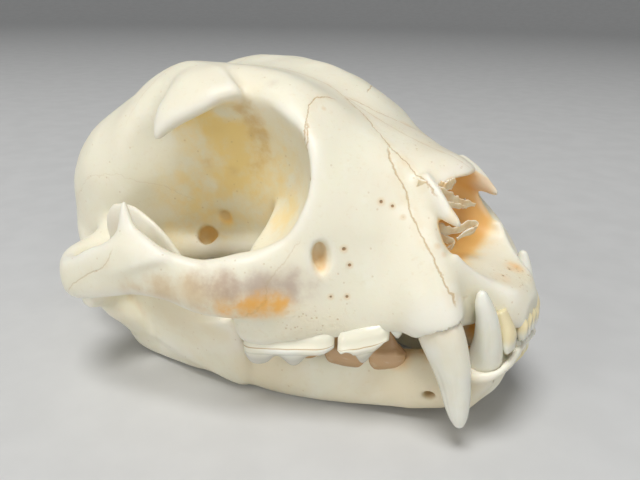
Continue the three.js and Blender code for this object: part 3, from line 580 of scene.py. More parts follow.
# Scrolls of thin bone inside the right of the nose: x, y, z, half width, half height.
SCROLLS = [
    [[-11.6, -46, 56.6, 0.4, 2.3], [-9.2, -51, 55.4, 0.3, 1.6], [-6.8, -52.6, 54.2, 0.26, 1.3],
     [-4.4, -54.2, 53, 0.22, 1.0], [-1.8, -56, 52.2, 0.16, 0.5]],
    [[-11.6, -46, 54.8, 0.4, 1.6], [-8.8, -51.4, 53.4, 0.28, 0.9], [-5.8, -53.4, 52.5, 0.22, 0.6],
     [-3.6, -54.8, 51.9, 0.16, 0.35]],
    [[-9.6, -50.4, 58, 0.3, 0.7], [-8.6, -51.6, 57.2, 0.34, 1.1], [-7.6, -52.2, 57.8, 0.3, 1.2],
     [-6.8, -52.8, 58.6, 0.2, 0.5]],
    [[-11.6, -46, 52.4, 0.4, 1.4], [-9.4, -51, 52.6, 0.3, 1.1], [-8.2, -52.6, 51.9, 0.3, 0.8],
     [-7.6, -53.4, 51.1, 0.3, 0.5], [-8.2, -53, 50.6, 0.2, 0.4]],
    [[-12.6, -48, 49.6, 0.4, 1.8], [-10.6, -51.4, 48.4, 0.3, 1.3], [-7.8, -52.8, 47.2, 0.26, 1.1],
     [-5.6, -54.4, 47.3, 0.24, 1], [-3.6, -55.8, 48.3, 0.24, 0.9], [-2.4, -56.8, 47.9, 0.22, 0.7],
     [-2.8, -56.6, 46.8, 0.22, 0.8], [-4.6, -55.2, 46, 0.22, 0.8], [-6, -54.2, 45, 0.16, 0.4]],
    [[-12.6, -48, 46.6, 0.4, 1.8], [-10.8, -51, 46.2, 0.3, 1.2], [-9.2, -52.8, 45.7, 0.28, 0.9],
     [-8, -53.9, 44.7, 0.26, 0.8], [-8.4, -53.6, 43.5, 0.24, 0.6], [-9.6, -52.2, 42.9, 0.2, 0.4]],
]

# What is left of them on the left, drawn as if on the right too: short broken roots.
SCROLL_ROOTS = [
    [[-12, -43, 56.6, 0.5, 2.2], [-10.6, -46.4, 55.8, 0.36, 1.4], [-9.4, -48.2, 55, 0.2, 0.7]],
    [[-12.6, -44, 49.4, 0.5, 2.4], [-11.4, -47.4, 48.6, 0.36, 1.5], [-10.4, -49.6, 48, 0.2, 0.7]],
]


def scroll(side, stations, seed):
    """A ribbon of thin bone along a curling line, its edges drawn in by soft random nicks."""
    rings, nicks = 60, 22
    points = limb(np.array(stations) * [-1, 1, 1, 1, 1], rings, 20, up=(0.3, 0, 1), box=0.6)
    middle = points.mean(1, keepdims=True)
    depth = np.random.default_rng(seed).uniform(0.6, 1.2, nicks)
    size = np.interp(np.linspace(0, nicks - 1, rings), np.arange(nicks), depth)
    return on_side(middle + (points - middle) * size[:, None, None], side)


# ------------------------------------------------------------------ cranium and lower jaw

def cranium_room():
    """The left half of the cranium in small cubes, then both halves with the swells of bone.
    Returns it and the left half of the nose's opening."""
    room, nose = (Room([0, -77, -3], [53, 77, 84]) for _ in range(2))
    room.join(*room.distance(hull(SNOUT_LINES), FAR), 0)
    room.join(*room.egg([34, -7.5, 58.2], [25, 22, 20.2], [("Y", -30), ("Z", -25)]), 2.0, -1)
    room.join(*room.distance(hull(CASE_LINES), FAR), 1.2)
    room.add(limb(ARCH, 80, 32, box=0.85), 3.5)
    for line, soft in ((JUGAL_SPIKE, 3.0), (BROW_SPIKE, 3.0), (CANINE_SWELLING, 3.5)):
        room.add(limb(line, up=UP_Y), soft)
    room.join(*room.egg([16.6, 40, 24.4], [8.6, 13.4, 10.6], [("Z", -14)]), 1.5)
    room.add(limb(PTERYGOID), 1.5)
    room.add(limb(WING, 60), 4.0)
    room.join(*room.egg([13.2, 13.2, 32.6], [2.2, 2.8, 3.1]), 0.7, -1)
    room.join(*room.egg([13, 7.6, 39.2], [1.7, 2.1, 2.1]), 0.7, -1)
    for line, soft in ((MASTOID, 2.5), (PARAMASTOID, 2.0), (CONDYLE_KNOB, 1.5), (POSTGLENOID, 2.0)):
        room.add(limb(line, up=UP_Y), soft)
    for line, soft in ((NUCHAL_RIDGE, 2.5), (CROWN_RIDGE, 3.0)):
        room.add(limb(line), soft)
    opening = limb(NOSE_OPENING, 60, 40, box=0.7)
    nose.join(*nose.distance(opening, 4.0), 0)
    room.cut(opening, 1.2)
    for line, soft in ((NOSE_NOTCH, 0.6), (GREAT_FORAMEN, 1.2), (CHEEK_HOLE, 1.0), (EAR_HOLE, 1.0)):
        room.cut(limb(line), soft)
    room.cut(limb(JAW_HINGE, grow=0.9), 0.8)
    room.add(limb(NASAL_SPIKE), 1.6)
    for line, gap in ((UPPER_CANINE, 0.1), (LOWER_CANINE, 0.7)):
        room.cut(limb(line, up=UP_Y, grow=gap), 0.5)
    whole = room.mirrored()
    whole.value += 0.22 * ripple(whole, 9, 3) + 0.1 * ripple(whole, 4, 4)
    whole.smooth(2)
    return whole, nose


def jaw_room(side):
    """One half of the lower jaw in small cubes."""
    room = Room([-2, -74, -3], [48, 36, 48])
    room.add(limb(JAW_BODY, 90, 32, box=0.85), 0)
    room.add(limb(JAW_BLADE, 60, 32, up=UP_Y, box=0.8), 3.0)
    room.add(limb(JAW_NECK, up=UP_Y), 3.0)
    room.add(limb(JAW_HINGE), 2.0)
    room.add(limb(JAW_SWELLING, up=UP_Y), 2.0)
    room.add(limb(JAW_LIP, 60), 1.4)
    room.cut(limb(CHIN_HOLE), 0.6)
    room.cut(limb(LOWER_CANINE, up=UP_Y, grow=0.1), 0.5)
    half_gap, lowest = 0.18, 0.05    # between the two halves, and above the drawing's z = 0
    x, y, z = room.places(tuple(slice(0, n) for n in room.size))
    room.value = np.maximum(room.value, half_gap - x).astype(np.float32)
    room.value += 0.2 * ripple(room, 8, 11 + side) + 0.08 * ripple(room, 3.5, 17 + side)
    room.value = np.maximum(room.value, lowest - z).astype(np.float32)
    room.smooth(1)
    if side == RIGHT:
        room.value = np.ascontiguousarray(room.value[::-1])
        room.low[0] = -(room.low[0] + room.size[0] - 1)
    return room


# ------------------------------------------------------------------ marks on the bone

# Seams between bones, each in one plane of the drawing, mirrored on both sides.
SEAM_PREMAXILLA = [[-37.4, 64.4], [-41.8, 59.3], [-44.4, 56.3], [-46.9, 52.1], [-51, 47.7],
                   [-54.1, 44.4], [-56.7, 41.1], [-59.5, 38], [-60.8, 35.6]]                # y, z
SEAM_BROW = [[7, -22.6], [10.6, -21.6], [13.4, -20.6], [16, -21.1], [18.6, -22.6],
             [21.2, -23.6], [24, -25.4]]                                                # x, y
SEAM_RIM = [[-22.4, 70], [-23.6, 68.6], [-24.9, 66.2], [-25.3, 62], [-27.2, 58],
            [-28, 54]]                                                                 # y, z
SEAM_NASAL = [[0.6, -20.5], [2.6, -27], [6.8, -34.2], [9.3, -39.2], [9.7, -42], [10.3, -44.8],
              [11.6, -48.5], [12.9, -51.9]]                                             # x, y
SEAM_MIDDLE = [[0, -56], [0, -20], [0, 22], [0, 46]]                                    # x, y
SEAM_ARCH = [[25, 27.4], [21.6, 30.4], [16.3, 34.1], [12, 36.3], [9.6, 38.4], [8, 42]]  # y, z
SEAM_CHEEK = [[-29, 47], [-27.4, 43], [-25, 38], [-24.4, 33], [-21, 29.6], [-14, 29]]   # y, z
SEAM_CROWN = [[0, 17], [5, 15.6], [11, 17.6], [17, 20.4], [22, 24.6], [27, 28]]         # x, y
SEAM_TEMPLE = [[8, 36], [13, 42], [20, 48], [29, 51], [38, 49.4], [45, 43], [50, 35]]   # y, z


def seam(across, line, ends=1.6):
    """Signed distance in a plane from a broken line, and 1 beside it fading to 0 at its ends.

    For each span: f = how far along it the nearest point is; distance = length of what is
    left, with the sign of the turn from the span to it. The nearest span counts.
    """
    line = np.array(line, float)
    best = np.full(len(across), 1e9)
    sign = np.ones(len(across))
    run = np.zeros(len(across))
    start = 0.0
    for a, b in zip(line[:-1], line[1:]):
        span = b - a
        length = np.hypot(*span)
        f = np.clip(((across - a) @ span) / length ** 2, 0, 1)
        rest = across - a - f[:, None] * span
        gap = np.hypot(rest[:, 0], rest[:, 1])
        near = gap < best
        best = np.where(near, gap, best)
        sign = np.where(near, np.sign(span[0] * rest[:, 1] - span[1] * rest[:, 0] + 1e-12), sign)
        run = np.where(near, start + f * length, run)
        start += length
    fade = np.clip(run / ends, 0, 1) * np.clip((start - run) / ends, 0, 1)
    return best * sign, fade


def step(value, low, high):
    """0 below `low`, 1 above `high`, with a smooth-step between."""
    f = np.clip((value - low) / (high - low), 0, 1)
    return f * f * (3 - 2 * f)


def blobs(points, table):
    """Soft round patches: the most of strength * exp(-(distance / radius)^2)."""
    total = np.zeros(len(points))
    for x, y, z, radius, strength in table:
        gap = np.linalg.norm(points - [x, y, z], axis=1)
        total = np.maximum(total, strength * np.exp(-(gap / radius) ** 2))
    return total


# Patches of tint: x (without its side), y, z, radius, strength.
# Painted glow: amber light through the thin bone of the orbit's roof and walls, and golden light in its
# two holes.
YELLOW_PAINTED_GLOW = [
    [20.4, 12.4, 64.3, 6, 0.7], [20.3, 7.4, 67.3, 6, 0.8], [17.4, 5.4, 63.5, 6, 1],
    [15.6, 0.7, 63.8, 5, 1], [15.5, 4.2, 58.4, 5, 0.9], [22.4, -4, 72.2, 4, 0.5],
    [13, 0, 54, 18, 0.75], [15, 12, 44, 15, 0.6], [15, 20, 36, 9, 0.5], [16, -14, 48, 12, 0.5],
    [12.4, 7.8, 39, 3, 1], [12.2, 13.3, 32.6, 3.9, 1], [14, -4, 60, 14, 0.7],
]
# Painted shade: brown shade under the front of the arch and darker warm shade inside the orbit.
TAN_PAINTED_SHADE = [
    [45.6, -4, 33.6, 5.5, 0.9], [43.8, -11, 35.2, 5.5, 1], [41, -17, 35.4, 5, 0.8],
    [47, 4, 32.2, 5, 0.6], [46.5, 12, 30.8, 5, 0.3],
    [17.8, -4.5, 69.5, 4, 0.7], [15.8, -5.8, 67, 4, 0.8], [13.4, -5.9, 63.1, 4, 0.8],
    [12.6, -6.1, 59.3, 4, 0.6], [13, -3.3, 54.5, 3, 0.5], [17, 9, 54.5, 2.6, 0.5],
    [15, 3, 52.5, 2.4, 0.5],
]
# Mostly painted light: orange glow through the bone under the front of the arch and in the orbit's holes,
# and warm painted shade on the palate and the jaw's inner side in the mouth; a few small warm spots
# elsewhere.
ORANGE_PAINTED_GLOW_SHADE_AND_SPOTS = [
    [12.4, 7.8, 39, 2.4, 0.6], [12.2, 13.3, 32.6, 3.2, 0.6],
    [41, -12, 30.6, 3.4, 0.5], [39.5, -17, 31.6, 3.6, 0.8], [38, -21.2, 32.2, 3.6, 1],
    [36.4, -23.8, 32.6, 3.6, 1], [34.2, -25.8, 32.4, 3.4, 1], [32.3, -28, 31.3, 2.6, 0.6],
    [8, -58, 20, 6, 1], [8.6, -53, 18, 5, 0.6], [14, -46, 17.4, 4, 0.7], [12.6, -57.6, 28, 3, 0.7],
    [6, -50, 27.4, 10, 0.7], [12, -42, 27, 8, 0.6], [9, -46, 14, 6, 0.5],
    [22.6, -24, 67.4, 1.5, 0.9], [25.8, -30.7, 40.5, 3, 0.6], [27.2, -32.7, 40.1, 2.6, 0.6],
    [4, -64.6, 37.2, 3, 0.5], [9.7, -42, 60.6, 2, 0.35], [14.6, 17, 28.4, 2.2, 0.8],
    [35, 24, 14, 4, 0.25], [7.5, -33.8, 65.8, 3, 0.25], [46, 14, 34.6, 3, 0.12],
]
# Painted shade: purple-grey shade along the lower side of the arch, and two faint patches on the brow.
PURPLE_PAINTED_SHADE = [
    [42.8, -13.5, 37.6, 4.5, 0.6], [40.6, -18.3, 37, 4.5, 0.8], [37.4, -23.6, 36.4, 5, 0.8],
    [32.6, -27.8, 36.4, 5, 0.8], [29.9, -31.5, 37, 4, 0.6], [44.5, -4, 33.5, 4, 0.3],
    [15.5, -11.5, 74.9, 3.4, 0.35], [16.8, -16.6, 71.7, 3, 0.25],
]
POROUS = [
    [3, -64.4, 37.3, 4, 0.8], [2.5, -67.1, 36.6, 3.4, 1], [4, -60, 28, 8, 0.6], [2.5, -42, 63, 5, 0.6],
    [1.3, -35, 65.7, 5, 0.5], [4.2, -50, 60.4, 5, 0.6], [27, -38.5, 34.5, 5, 0.3], [33, -24, 31, 5, 0.5],
    [30, -30, 27, 7, 0.9], [28, -36, 27.6, 5, 0.8], [20, 58, 36, 8, 0.4], [16, 40, 20, 9, 0.3],
]


def marks(room, points, normals, nose=None):
    """Everything about a corner that its colour follows, by name, as arrays. `hollow` is 1 in a
    dent and -1 on a crest, against the bone's own shape smoothed many times; the colour puts
    painted shade in dents and a painted highlight on crests. `thin` holds patches of painted
    glow and painted shade, and `touch` painted shade under the arch, pores, and the nose's
    inner wall, which gets painted glow and shade."""
    soft = Room.holding(room.value, room.low)
    soft.smooth(14)
    deepest = 0.45
    folded = points.copy()
    folded[:, 0] = np.abs(folded[:, 0])
    x, y, z = folded.T
    wall = np.zeros(len(points)) if nose is None else step(-nose.sample(folded), -1.6, -0.5)
    # the nose's inner wall, where painted amber glow and shade go, stronger deeper in
    inside = wall * step(y, -66, -58)
    # painted amber glow in the orbit, faded out towards the outer cheek
    painted_glow = blobs(folded, YELLOW_PAINTED_GLOW) * step(-x, -30, -24)
    out = {
        "hollow": np.clip(-soft.sample(points) / deepest, -1, 1),
        "thin": np.stack([painted_glow, blobs(folded, TAN_PAINTED_SHADE), blobs(folded, ORANGE_PAINTED_GLOW_SHADE_AND_SPOTS)], 1),
        "touch": np.stack([blobs(folded, PURPLE_PAINTED_SHADE), blobs(folded, POROUS),
                           inside * (0.25 + 0.75 * step(y, -58.5, -53.5))], 1),
    }
    if nose is None:
        return out
    top = step(z, 52, 56) * step(normals[:, 2], 0.0, 0.4)
    side_on = step(np.abs(normals[:, 0]), 0.1, 0.3)
    pairs = [
        (seam(folded[:, 1:], SEAM_PREMAXILLA),
         step(x - np.clip(40 - z, 0, 5), 7, 9) * step(-x, -26, -22) * (1 - wall)),
        (seam(folded[:, :2], SEAM_BROW), step(z, 62, 64)),
        (seam(folded[:, 1:], SEAM_RIM), step(x, 18, 20)),
        (seam(folded[:, :2], SEAM_NASAL), top),
        (seam(points[:, :2], SEAM_MIDDLE, 8), top * 0.7),
        (seam(folded[:, 1:], SEAM_ARCH), step(x, 40, 42) * 0.5),
        (seam(folded[:, 1:], SEAM_CHEEK), step(x, 25, 27) * side_on * 0.3),
        (seam(folded[:, :2], SEAM_CROWN, 6), top * 0.35),
        (seam(folded[:, 1:], SEAM_TEMPLE, 6), step(x, 15, 18) * step(-x, -33, -31) * 0.2),
    ]
    for k, name in enumerate(("front", "top", "rear")):
        trio = pairs[3 * k:3 * k + 3]
        out[f"seams_{name}"] = np.stack([gap for (gap, _), _ in trio], 1)
        out[f"seams_{name}_on"] = np.stack([fade * where for (_, fade), where in trio], 1)
    return out


# Small blood-vessel holes, drawn as a dent with painted shade in it: x (without its side), y, z, radius
# in mm.
PINHOLES = [
    (17.4, -40.9, 54.0, 0.5), (16.3, -43.1, 53.2, 0.42), (16.2, -45.7, 51.1, 0.4),
    (25.0, -36.7, 44.7, 0.5), (24.8, -38.1, 41.3, 0.45), (26.1, -38.5, 34.5, 0.42),
    (28.1, -35.7, 34.4, 0.42), (15.9, -53.7, 46.3, 0.45), (15.9, -55.2, 44.7, 0.4),
    (13.4, -23.2, 70.9, 0.4), (2.2, -64.2, 37.4, 0.35), (4.6, -65.2, 36.8, 0.35),
    (8.5, -1.5, 46.5, 0.4), (14.4, 0.9, 45.5, 0.4), (20.5, 21.2, 34.2, 0.4),
    (33, -27.6, 30.6, 0.4),
]


# ------------------------------------------------------------------ materials

class Wires:
    """Puts nodes into a node tree and joins them."""

    def __init__(self, tree):
        self.tree = tree

    def add(self, kind, inputs=None, **settings):
        node = self.tree.nodes.new(kind)
        for key, value in settings.items():
            setattr(node, key, value)
        for key, value in (inputs or {}).items():
            if isinstance(value, bpy.types.NodeSocket):
                self.tree.links.new(value, node.inputs[key])
            else:
                node.inputs[key].default_value = value
        return node

    def math(self, operation, a, b=0.0, c=0.0):
        return self.add("ShaderNodeMath", {0: a, 1: b, 2: c}, operation=operation).outputs[0]

    def plus(self, a, b):
        return self.math("ADD", a, b)

    def minus(self, a, b):
        return self.math("SUBTRACT", a, b)

    def times(self, a, b):
        return self.math("MULTIPLY", a, b)

    def ramp(self, value, low, high, start=0.0, stop=1.0):
        """Smooth-step of a value from low..high to start..stop."""
        return self.add("ShaderNodeMapRange", {0: value, 1: low, 2: high, 3: start, 4: stop},
                        interpolation_type="SMOOTHSTEP").outputs[0]

    def mix(self, amount, a, b, blend="MIX"):
        return self.add("ShaderNodeMix", {0: amount, 6: a, 7: b}, data_type="RGBA",
                        blend_type=blend).outputs[2]

    def noise(self, place, scale, detail=3.0, roughness=0.5, distortion=0.0):
        return self.add("ShaderNodeTexNoise", {"Vector": place, "Scale": scale, "Detail": detail,
                        "Roughness": roughness, "Distortion": distortion}).outputs["Fac"]

    def place(self):
        """Where a point is in its piece's own axes."""
        return self.add("ShaderNodeTexCoord").outputs["Object"]

    def bump(self, strength, distance, height):
        return self.add("ShaderNodeBump", {"Strength": strength, "Distance": distance,
                                           "Height": height}).outputs[0]

    def use(self, tree, inputs):
        """The results of a node group."""
        return self.add("ShaderNodeGroup", inputs, node_tree=tree).outputs

    def attribute(self, name, output="Fac"):
        return self.add("ShaderNodeAttribute", attribute_name=name).outputs[output]

    def split(self, name):
        """The three numbers of a vector attribute."""
        return self.add("ShaderNodeSeparateXYZ", {0: self.attribute(name, "Vector")}).outputs

    def vector(self, operation, a, b, output=0):
        return self.add("ShaderNodeVectorMath", {0: a, 1: b}, operation=operation).outputs[output]

    def most(self, *values):
        total = values[0]
        for value in values[1:]:
            total = self.math("MAXIMUM", total, value)
        return total


def group(name, inputs, outputs):
    """An empty node group with its sockets; returns its wires and its input sockets."""
    tree = bpy.data.node_groups.new(name, "ShaderNodeTree")
    for key, kind, value in inputs:
        socket = tree.interface.new_socket(key, in_out="INPUT", socket_type="NodeSocket" + kind)
        if value is not None:
            socket.default_value = value
    for key, kind in outputs:
        tree.interface.new_socket(key, in_out="OUTPUT", socket_type="NodeSocket" + kind)
    wires = Wires(tree)
    return wires, wires.add("NodeGroupInput").outputs


def rgb(*colour):
    return (*colour, 1.0)


def seam_group():
    """A seam's line: |distance + wiggle * noise| narrower than the width, and a halo round it."""
    w, given = group("bone_seam", [
        ("Distance", "Float", 9.0), ("On", "Float", 0.0), ("Width", "Float", 0.3),
        ("Wiggle", "Float", 0.5), ("Place", "Vector", None)], [("Line", "Float"), ("Halo", "Float")])
    coarse = w.noise(given["Place"], 420.0, 2.0)
    fine = w.noise(given["Place"], 1500.0, 2.0)
    wave = w.plus(w.times(w.minus(coarse, 0.5), 2.2), w.minus(fine, 0.5))
    bent = w.math("ABSOLUTE", w.math("MULTIPLY_ADD", wave, given["Wiggle"], given["Distance"]))
    line = w.ramp(bent, given["Width"], 0.04)
    halo = w.ramp(w.math("ABSOLUTE", given["Distance"]), 2.2, 0.2)
    patchy = w.ramp(w.noise(given["Place"], 260.0, 3.0), 0.4, 0.62)
    w.add("NodeGroupOutput", {"Line": w.times(line, given["On"]),
                              "Halo": w.times(w.times(halo, given["On"]), patchy)})
    return w.tree


def pinhole_group():
    """A pinhole's mask: 1 where the distance to its centre is under its size, and a rim."""
    w, given = group("pinhole", [
        ("Place", "Vector", None), ("Centre", "Vector", None), ("Size", "Float", 0.0005)],
        [("Hole", "Float"), ("Rim", "Float")])
    gap = w.vector("DISTANCE", given["Place"], given["Centre"], "Value")
    share = w.math("DIVIDE", gap, given["Size"])
    w.add("NodeGroupOutput", {"Hole": w.ramp(share, 1.0, 0.5), "Rim": w.ramp(share, 2.6, 0.9)})
    return w.tree


def bone_group(seam_tree, pinhole_tree):
    """Dry bone: ivory with soft cream clouds and fine grain, seams, holes, pores and a few warm
    spots, with painted glow and painted shade in the orbit, under the arch, in the mouth and
    inside the nose, painted shade in dents and in the small holes, and a painted highlight on
    crests; gives its colour, its roughness and its bumped normal."""
    w, given = group("dry_bone", [("Age", "Float", 0.3)], [
        ("Colour", "Color"), ("Roughness", "Float"), ("Normal", "Vector")])
    place = w.place()
    folded = w.vector("ABSOLUTE", place, (0, 0, 0))
    xyz, fold = (w.add("ShaderNodeSeparateXYZ", {0: v}).outputs for v in (place, folded))
    mirrored = w.add("ShaderNodeCombineXYZ", {0: fold[0], 1: xyz[1], 2: xyz[2]}).outputs[0]

    clouds = w.noise(place, 38.0, 4.0, 0.55, 0.6)
    patches = w.noise(place, 130.0, 4.0, 0.6)
    grain = w.noise(place, 900.0, 3.0, 0.6)
    hair = w.noise(w.vector("MULTIPLY", place, (1.0, 0.16, 1.0)), 2200.0, 2.0, 0.5)
    colour = rgb(0.90, 0.88, 0.75)
    for mask, tint in (
            (w.ramp(clouds, 0.32, 0.68), (0.87, 0.825, 0.64)),
            (w.ramp(patches, 0.5, 0.75, 0.0, 0.5), (0.92, 0.905, 0.79)),
            (w.ramp(grain, 0.55, 0.8, 0.0, 0.25), (0.74, 0.61, 0.38)),
            (w.times(w.ramp(clouds, 0.6, 0.35), given["Age"]), (0.78, 0.62, 0.34))):
        colour = w.mix(mask, colour, rgb(*tint))

    # `thin` and `touch` carry the painted glow and painted shade patches and the pores; `hollow` carries
    # painted shade in dents and a painted highlight on crests.
    thin, touch, hollow = w.split("thin"), w.split("touch"), w.attribute("hollow")
    ragged = w.ramp(w.noise(place, 170.0, 4.0, 0.6), 0.3, 0.7, -0.2, 0.2)

    def uneven(mask, share):
        """A mask with a ragged edge, at some strength."""
        return w.times(w.ramp(w.plus(mask, w.times(ragged, w.ramp(mask, 0.05, 0.5))), 0.1, 0.95), share)

    for mask, tint in (
            # painted amber glow in the orbit
            (uneven(thin[0], 0.95), (0.93, 0.70, 0.28)),
            # painted brown shade under the arch and in the orbit
            (uneven(thin[1], 0.6), (0.62, 0.40, 0.17)),
            # painted purple-grey shade along the arch
            (uneven(touch[0], 0.7), (0.47, 0.33, 0.26)),
            # painted amber glow and shade on the nose's inner wall, deepening to orange further in
            (uneven(touch[2], 0.9), (0.93, 0.66, 0.28)),
            (w.times(w.ramp(touch[2], 0.6, 1.0), w.ramp(clouds, 0.4, 0.6, 0.2, 0.8)), (0.90, 0.48, 0.12)),
            # painted orange glow and shade, with a few warm spots
            (uneven(thin[2], 0.92), (0.95, 0.48, 0.08)),
            # painted shade in dents and a painted highlight on crests, from `hollow`
            (w.ramp(hollow, 0.2, 1.0, 0.0, 0.6), (0.70, 0.50, 0.25)),
            (w.ramp(hollow, -0.2, -1.0, 0.0, 0.5), (0.93, 0.90, 0.81))):
        colour = w.mix(mask, colour, rgb(*tint))

    seams = []
    styles = {"seams_front": [(0.2, 0.35), (0.2, 0.6), (0.34, 0.9)],
              "seams_top": [(0.2, 0.55), (0.2, 0.35), (0.3, 0.35)],
              "seams_rear": [(0.24, 0.8), (0.2, 0.7), (0.2, 0.7)]}
    for name, looks in styles.items():
        for gap, on, (width, wiggle) in zip(w.split(name), w.split(name + "_on"), looks):
            seams.append(w.use(seam_tree, {"Distance": gap, "On": on, "Place": place,
                                           "Width": width, "Wiggle": wiggle}))
    line, halo = (w.most(*(mark[key] for mark in seams)) for key in ("Line", "Halo"))
    holes = [w.use(pinhole_tree, {"Place": mirrored, "Size": size * MM,
                                  "Centre": tuple((np.array(centre) + SEAT) * MM)})
             for *centre, size in PINHOLES]
    hole, rim = (w.most(*(mark[key] for mark in holes)) for key in ("Hole", "Rim"))

    cells = w.add("ShaderNodeTexVoronoi", {"Vector": place, "Scale": 1100.0}).outputs["Distance"]
    scattered = w.ramp(w.noise(place, 450.0, 3.0), 0.5, 0.62)
    pores = w.times(w.times(w.ramp(cells, 0.36, 0.1), scattered), w.ramp(touch[1], 0.15, 0.7))
    sparse = w.add("ShaderNodeTexVoronoi", {"Vector": place, "Scale": 330.0}).outputs["Distance"]
    pit = w.most(pores, w.times(w.ramp(sparse, 0.11, 0.05), 0.5))
    for mask, share, tint in (
            (halo, 0.16, (0.74, 0.50, 0.20)), (line, 0.6, (0.52, 0.33, 0.12)),
            # a small hole's dark centre is painted shade
            (rim, 0.35, (0.72, 0.47, 0.2)), (hole, 0.9, (0.30, 0.16, 0.06)),
            (pit, 0.6, (0.56, 0.38, 0.19)), (w.ramp(touch[1], 0.1, 0.9), 0.22, (0.80, 0.64, 0.38))):
        colour = w.mix(w.times(mask, share), colour, rgb(*tint))

    rough = w.plus(w.ramp(patches, 0.3, 0.7, 0.34, 0.48), w.times(w.ramp(hollow, 0.1, 1.0), 0.14))
    rugged = w.times(w.noise(place, 330.0, 5.0, 0.7, 0.8), w.ramp(touch[1], 0.1, 0.8))
    height = w.times(patches, 0.5)
    for mask, depth in ((grain, 0.16), (hair, 0.07), (rugged, 1.6)):
        height = w.plus(height, w.times(mask, depth))
    for mask, depth in ((line, 0.5), (hole, 1.4), (pit, 0.45)):
        height = w.minus(height, w.times(mask, depth))
    w.add("NodeGroupOutput", {"Colour": colour, "Roughness": rough,
                              "Normal": w.bump(0.5, 0.00035, height)})
    return w.tree


def enamel_group():
    """Enamel: warm white, yellower towards the root, fine lengthwise lines; colour and normal.
    A cheek tooth is greyer where its turn is near its cutting edge's, has a thin brown line at
    the gum, and is coloured like bone past that."""
    w, given = group("tooth_enamel", [
        ("Root", "Float", 0.2), ("Yellow", "Float", 0.5), ("Thin Edge", "Float", 0.0),
        ("Tint", "Color", rgb(0.74, 0.56, 0.30))], [("Colour", "Color"), ("Normal", "Vector")])
    place, reach, turn = w.place(), w.attribute("reach"), w.attribute("turn")
    clouds = w.noise(place, 120.0, 3.0, 0.5)
    colour = w.mix(w.ramp(clouds, 0.35, 0.7), rgb(0.88, 0.87, 0.77), rgb(0.84, 0.81, 0.66))
    edge = w.plus(given["Root"], w.times(w.minus(clouds, 0.5), 0.12))
    rooty = w.minus(1.0, w.ramp(w.minus(reach, edge), -0.06, 0.16))
    colour = w.mix(w.times(rooty, given["Yellow"]), colour, given["Tint"])
    edge_turn = 0.48
    from_edge = w.math("ABSOLUTE", w.minus(turn, edge_turn))
    on_cheek_tooth = w.times(given["Thin Edge"], 1.6)
    gum_line = w.times(w.ramp(from_edge, 0.362, 0.378), w.ramp(from_edge, 0.396, 0.38))
    streak = w.noise(w.add("ShaderNodeCombineXYZ", {
        0: w.times(turn, 22.0), 1: w.times(reach, 1.4)}).outputs[0], 2.0, 3.0, 0.6)
    for mask, tint in (
            (w.times(w.ramp(from_edge, 0.2, 0.1), given["Thin Edge"]), (0.50, 0.47, 0.40)),
            (w.times(w.ramp(from_edge, 0.376, 0.388), on_cheek_tooth), (0.875, 0.835, 0.67)),
            (w.times(gum_line, on_cheek_tooth), (0.52, 0.36, 0.18)),
            (w.ramp(streak, 0.55, 0.75, 0.0, 0.25), (0.78, 0.70, 0.54))):
        colour = w.mix(mask, colour, rgb(*tint))
    height = w.plus(streak, w.times(w.noise(place, 700.0, 2.0), 0.3))
    w.add("NodeGroupOutput", {"Colour": colour, "Normal": w.bump(0.25, 0.00015, height)})
    return w.tree


def scroll_group():
    """Paper-thin bone: tan faces with pale edges, the pale edges a painted highlight; |sin(2 pi turn)| is
    near 1 at an edge.
    """
    w, _ = group("thin_scroll", [], [("Colour", "Color"), ("Normal", "Vector")])
    wave = w.math("ABSOLUTE", w.math("SINE", w.times(w.attribute("turn"), 6.2832)))
    mottle = w.noise(w.place(), 500.0, 3.0)
    face = w.mix(w.ramp(mottle, 0.35, 0.65), rgb(0.86, 0.72, 0.48), rgb(0.80, 0.58, 0.32))
    # pale edges: painted highlight
    colour = w.mix(w.ramp(wave, 0.7, 0.97), face, rgb(0.94, 0.89, 0.76))
    w.add("NodeGroupOutput", {"Colour": colour, "Normal": w.bump(0.5, 0.0003, mottle)})
    return w.tree


def finish_of(name, tree, looks, roughness=None, coat=0.0):
    """A material whose shader takes what a group gives and keeps its constants itself. The
    roughness is the group's own where none is said."""
    material = bpy.data.materials.new(name)
    material.use_nodes = True
    w = Wires(material.node_tree)
    shader = material.node_tree.nodes["Principled BSDF"]
    look = w.use(tree, looks)
    w.tree.links.new(look["Colour"], shader.inputs["Base Color"])
    w.tree.links.new(look["Normal"], shader.inputs["Normal"])
    if roughness is None:
        w.tree.links.new(look["Roughness"], shader.inputs["Roughness"])
    else:
        shader.inputs["Roughness"].default_value = roughness
    shader.inputs["Specular IOR Level"].default_value = 0.4
    shader.inputs["Subsurface Weight"].default_value = 0.1
    shader.inputs["Subsurface Radius"].default_value = (1.0, 0.6, 0.3)
    shader.inputs["Subsurface Scale"].default_value = 0.002
    if coat:
        shader.inputs["Coat Weight"].default_value = coat
        shader.inputs["Coat Roughness"].default_value = 0.12
    return material


bone_tree = bone_group(seam_group(), pinhole_group())
enamel_tree = enamel_group()
cranium_finish = finish_of("cranium_bone", bone_tree, {"Age": 0.25})
jaw_finish = finish_of("jaw_bone", bone_tree, {"Age": 0.5})
scroll_finish = finish_of("scroll_bone", scroll_group(), {}, 0.5)
fang_finish = finish_of("fang_enamel", enamel_tree, {"Root": 0.16, "Yellow": 0.35}, 0.24, 0.25)
cheek_finish = finish_of("cheek_tooth_enamel", enamel_tree,
                         {"Root": -0.4, "Yellow": 0, "Thin Edge": 0.6}, 0.26, 0.2)
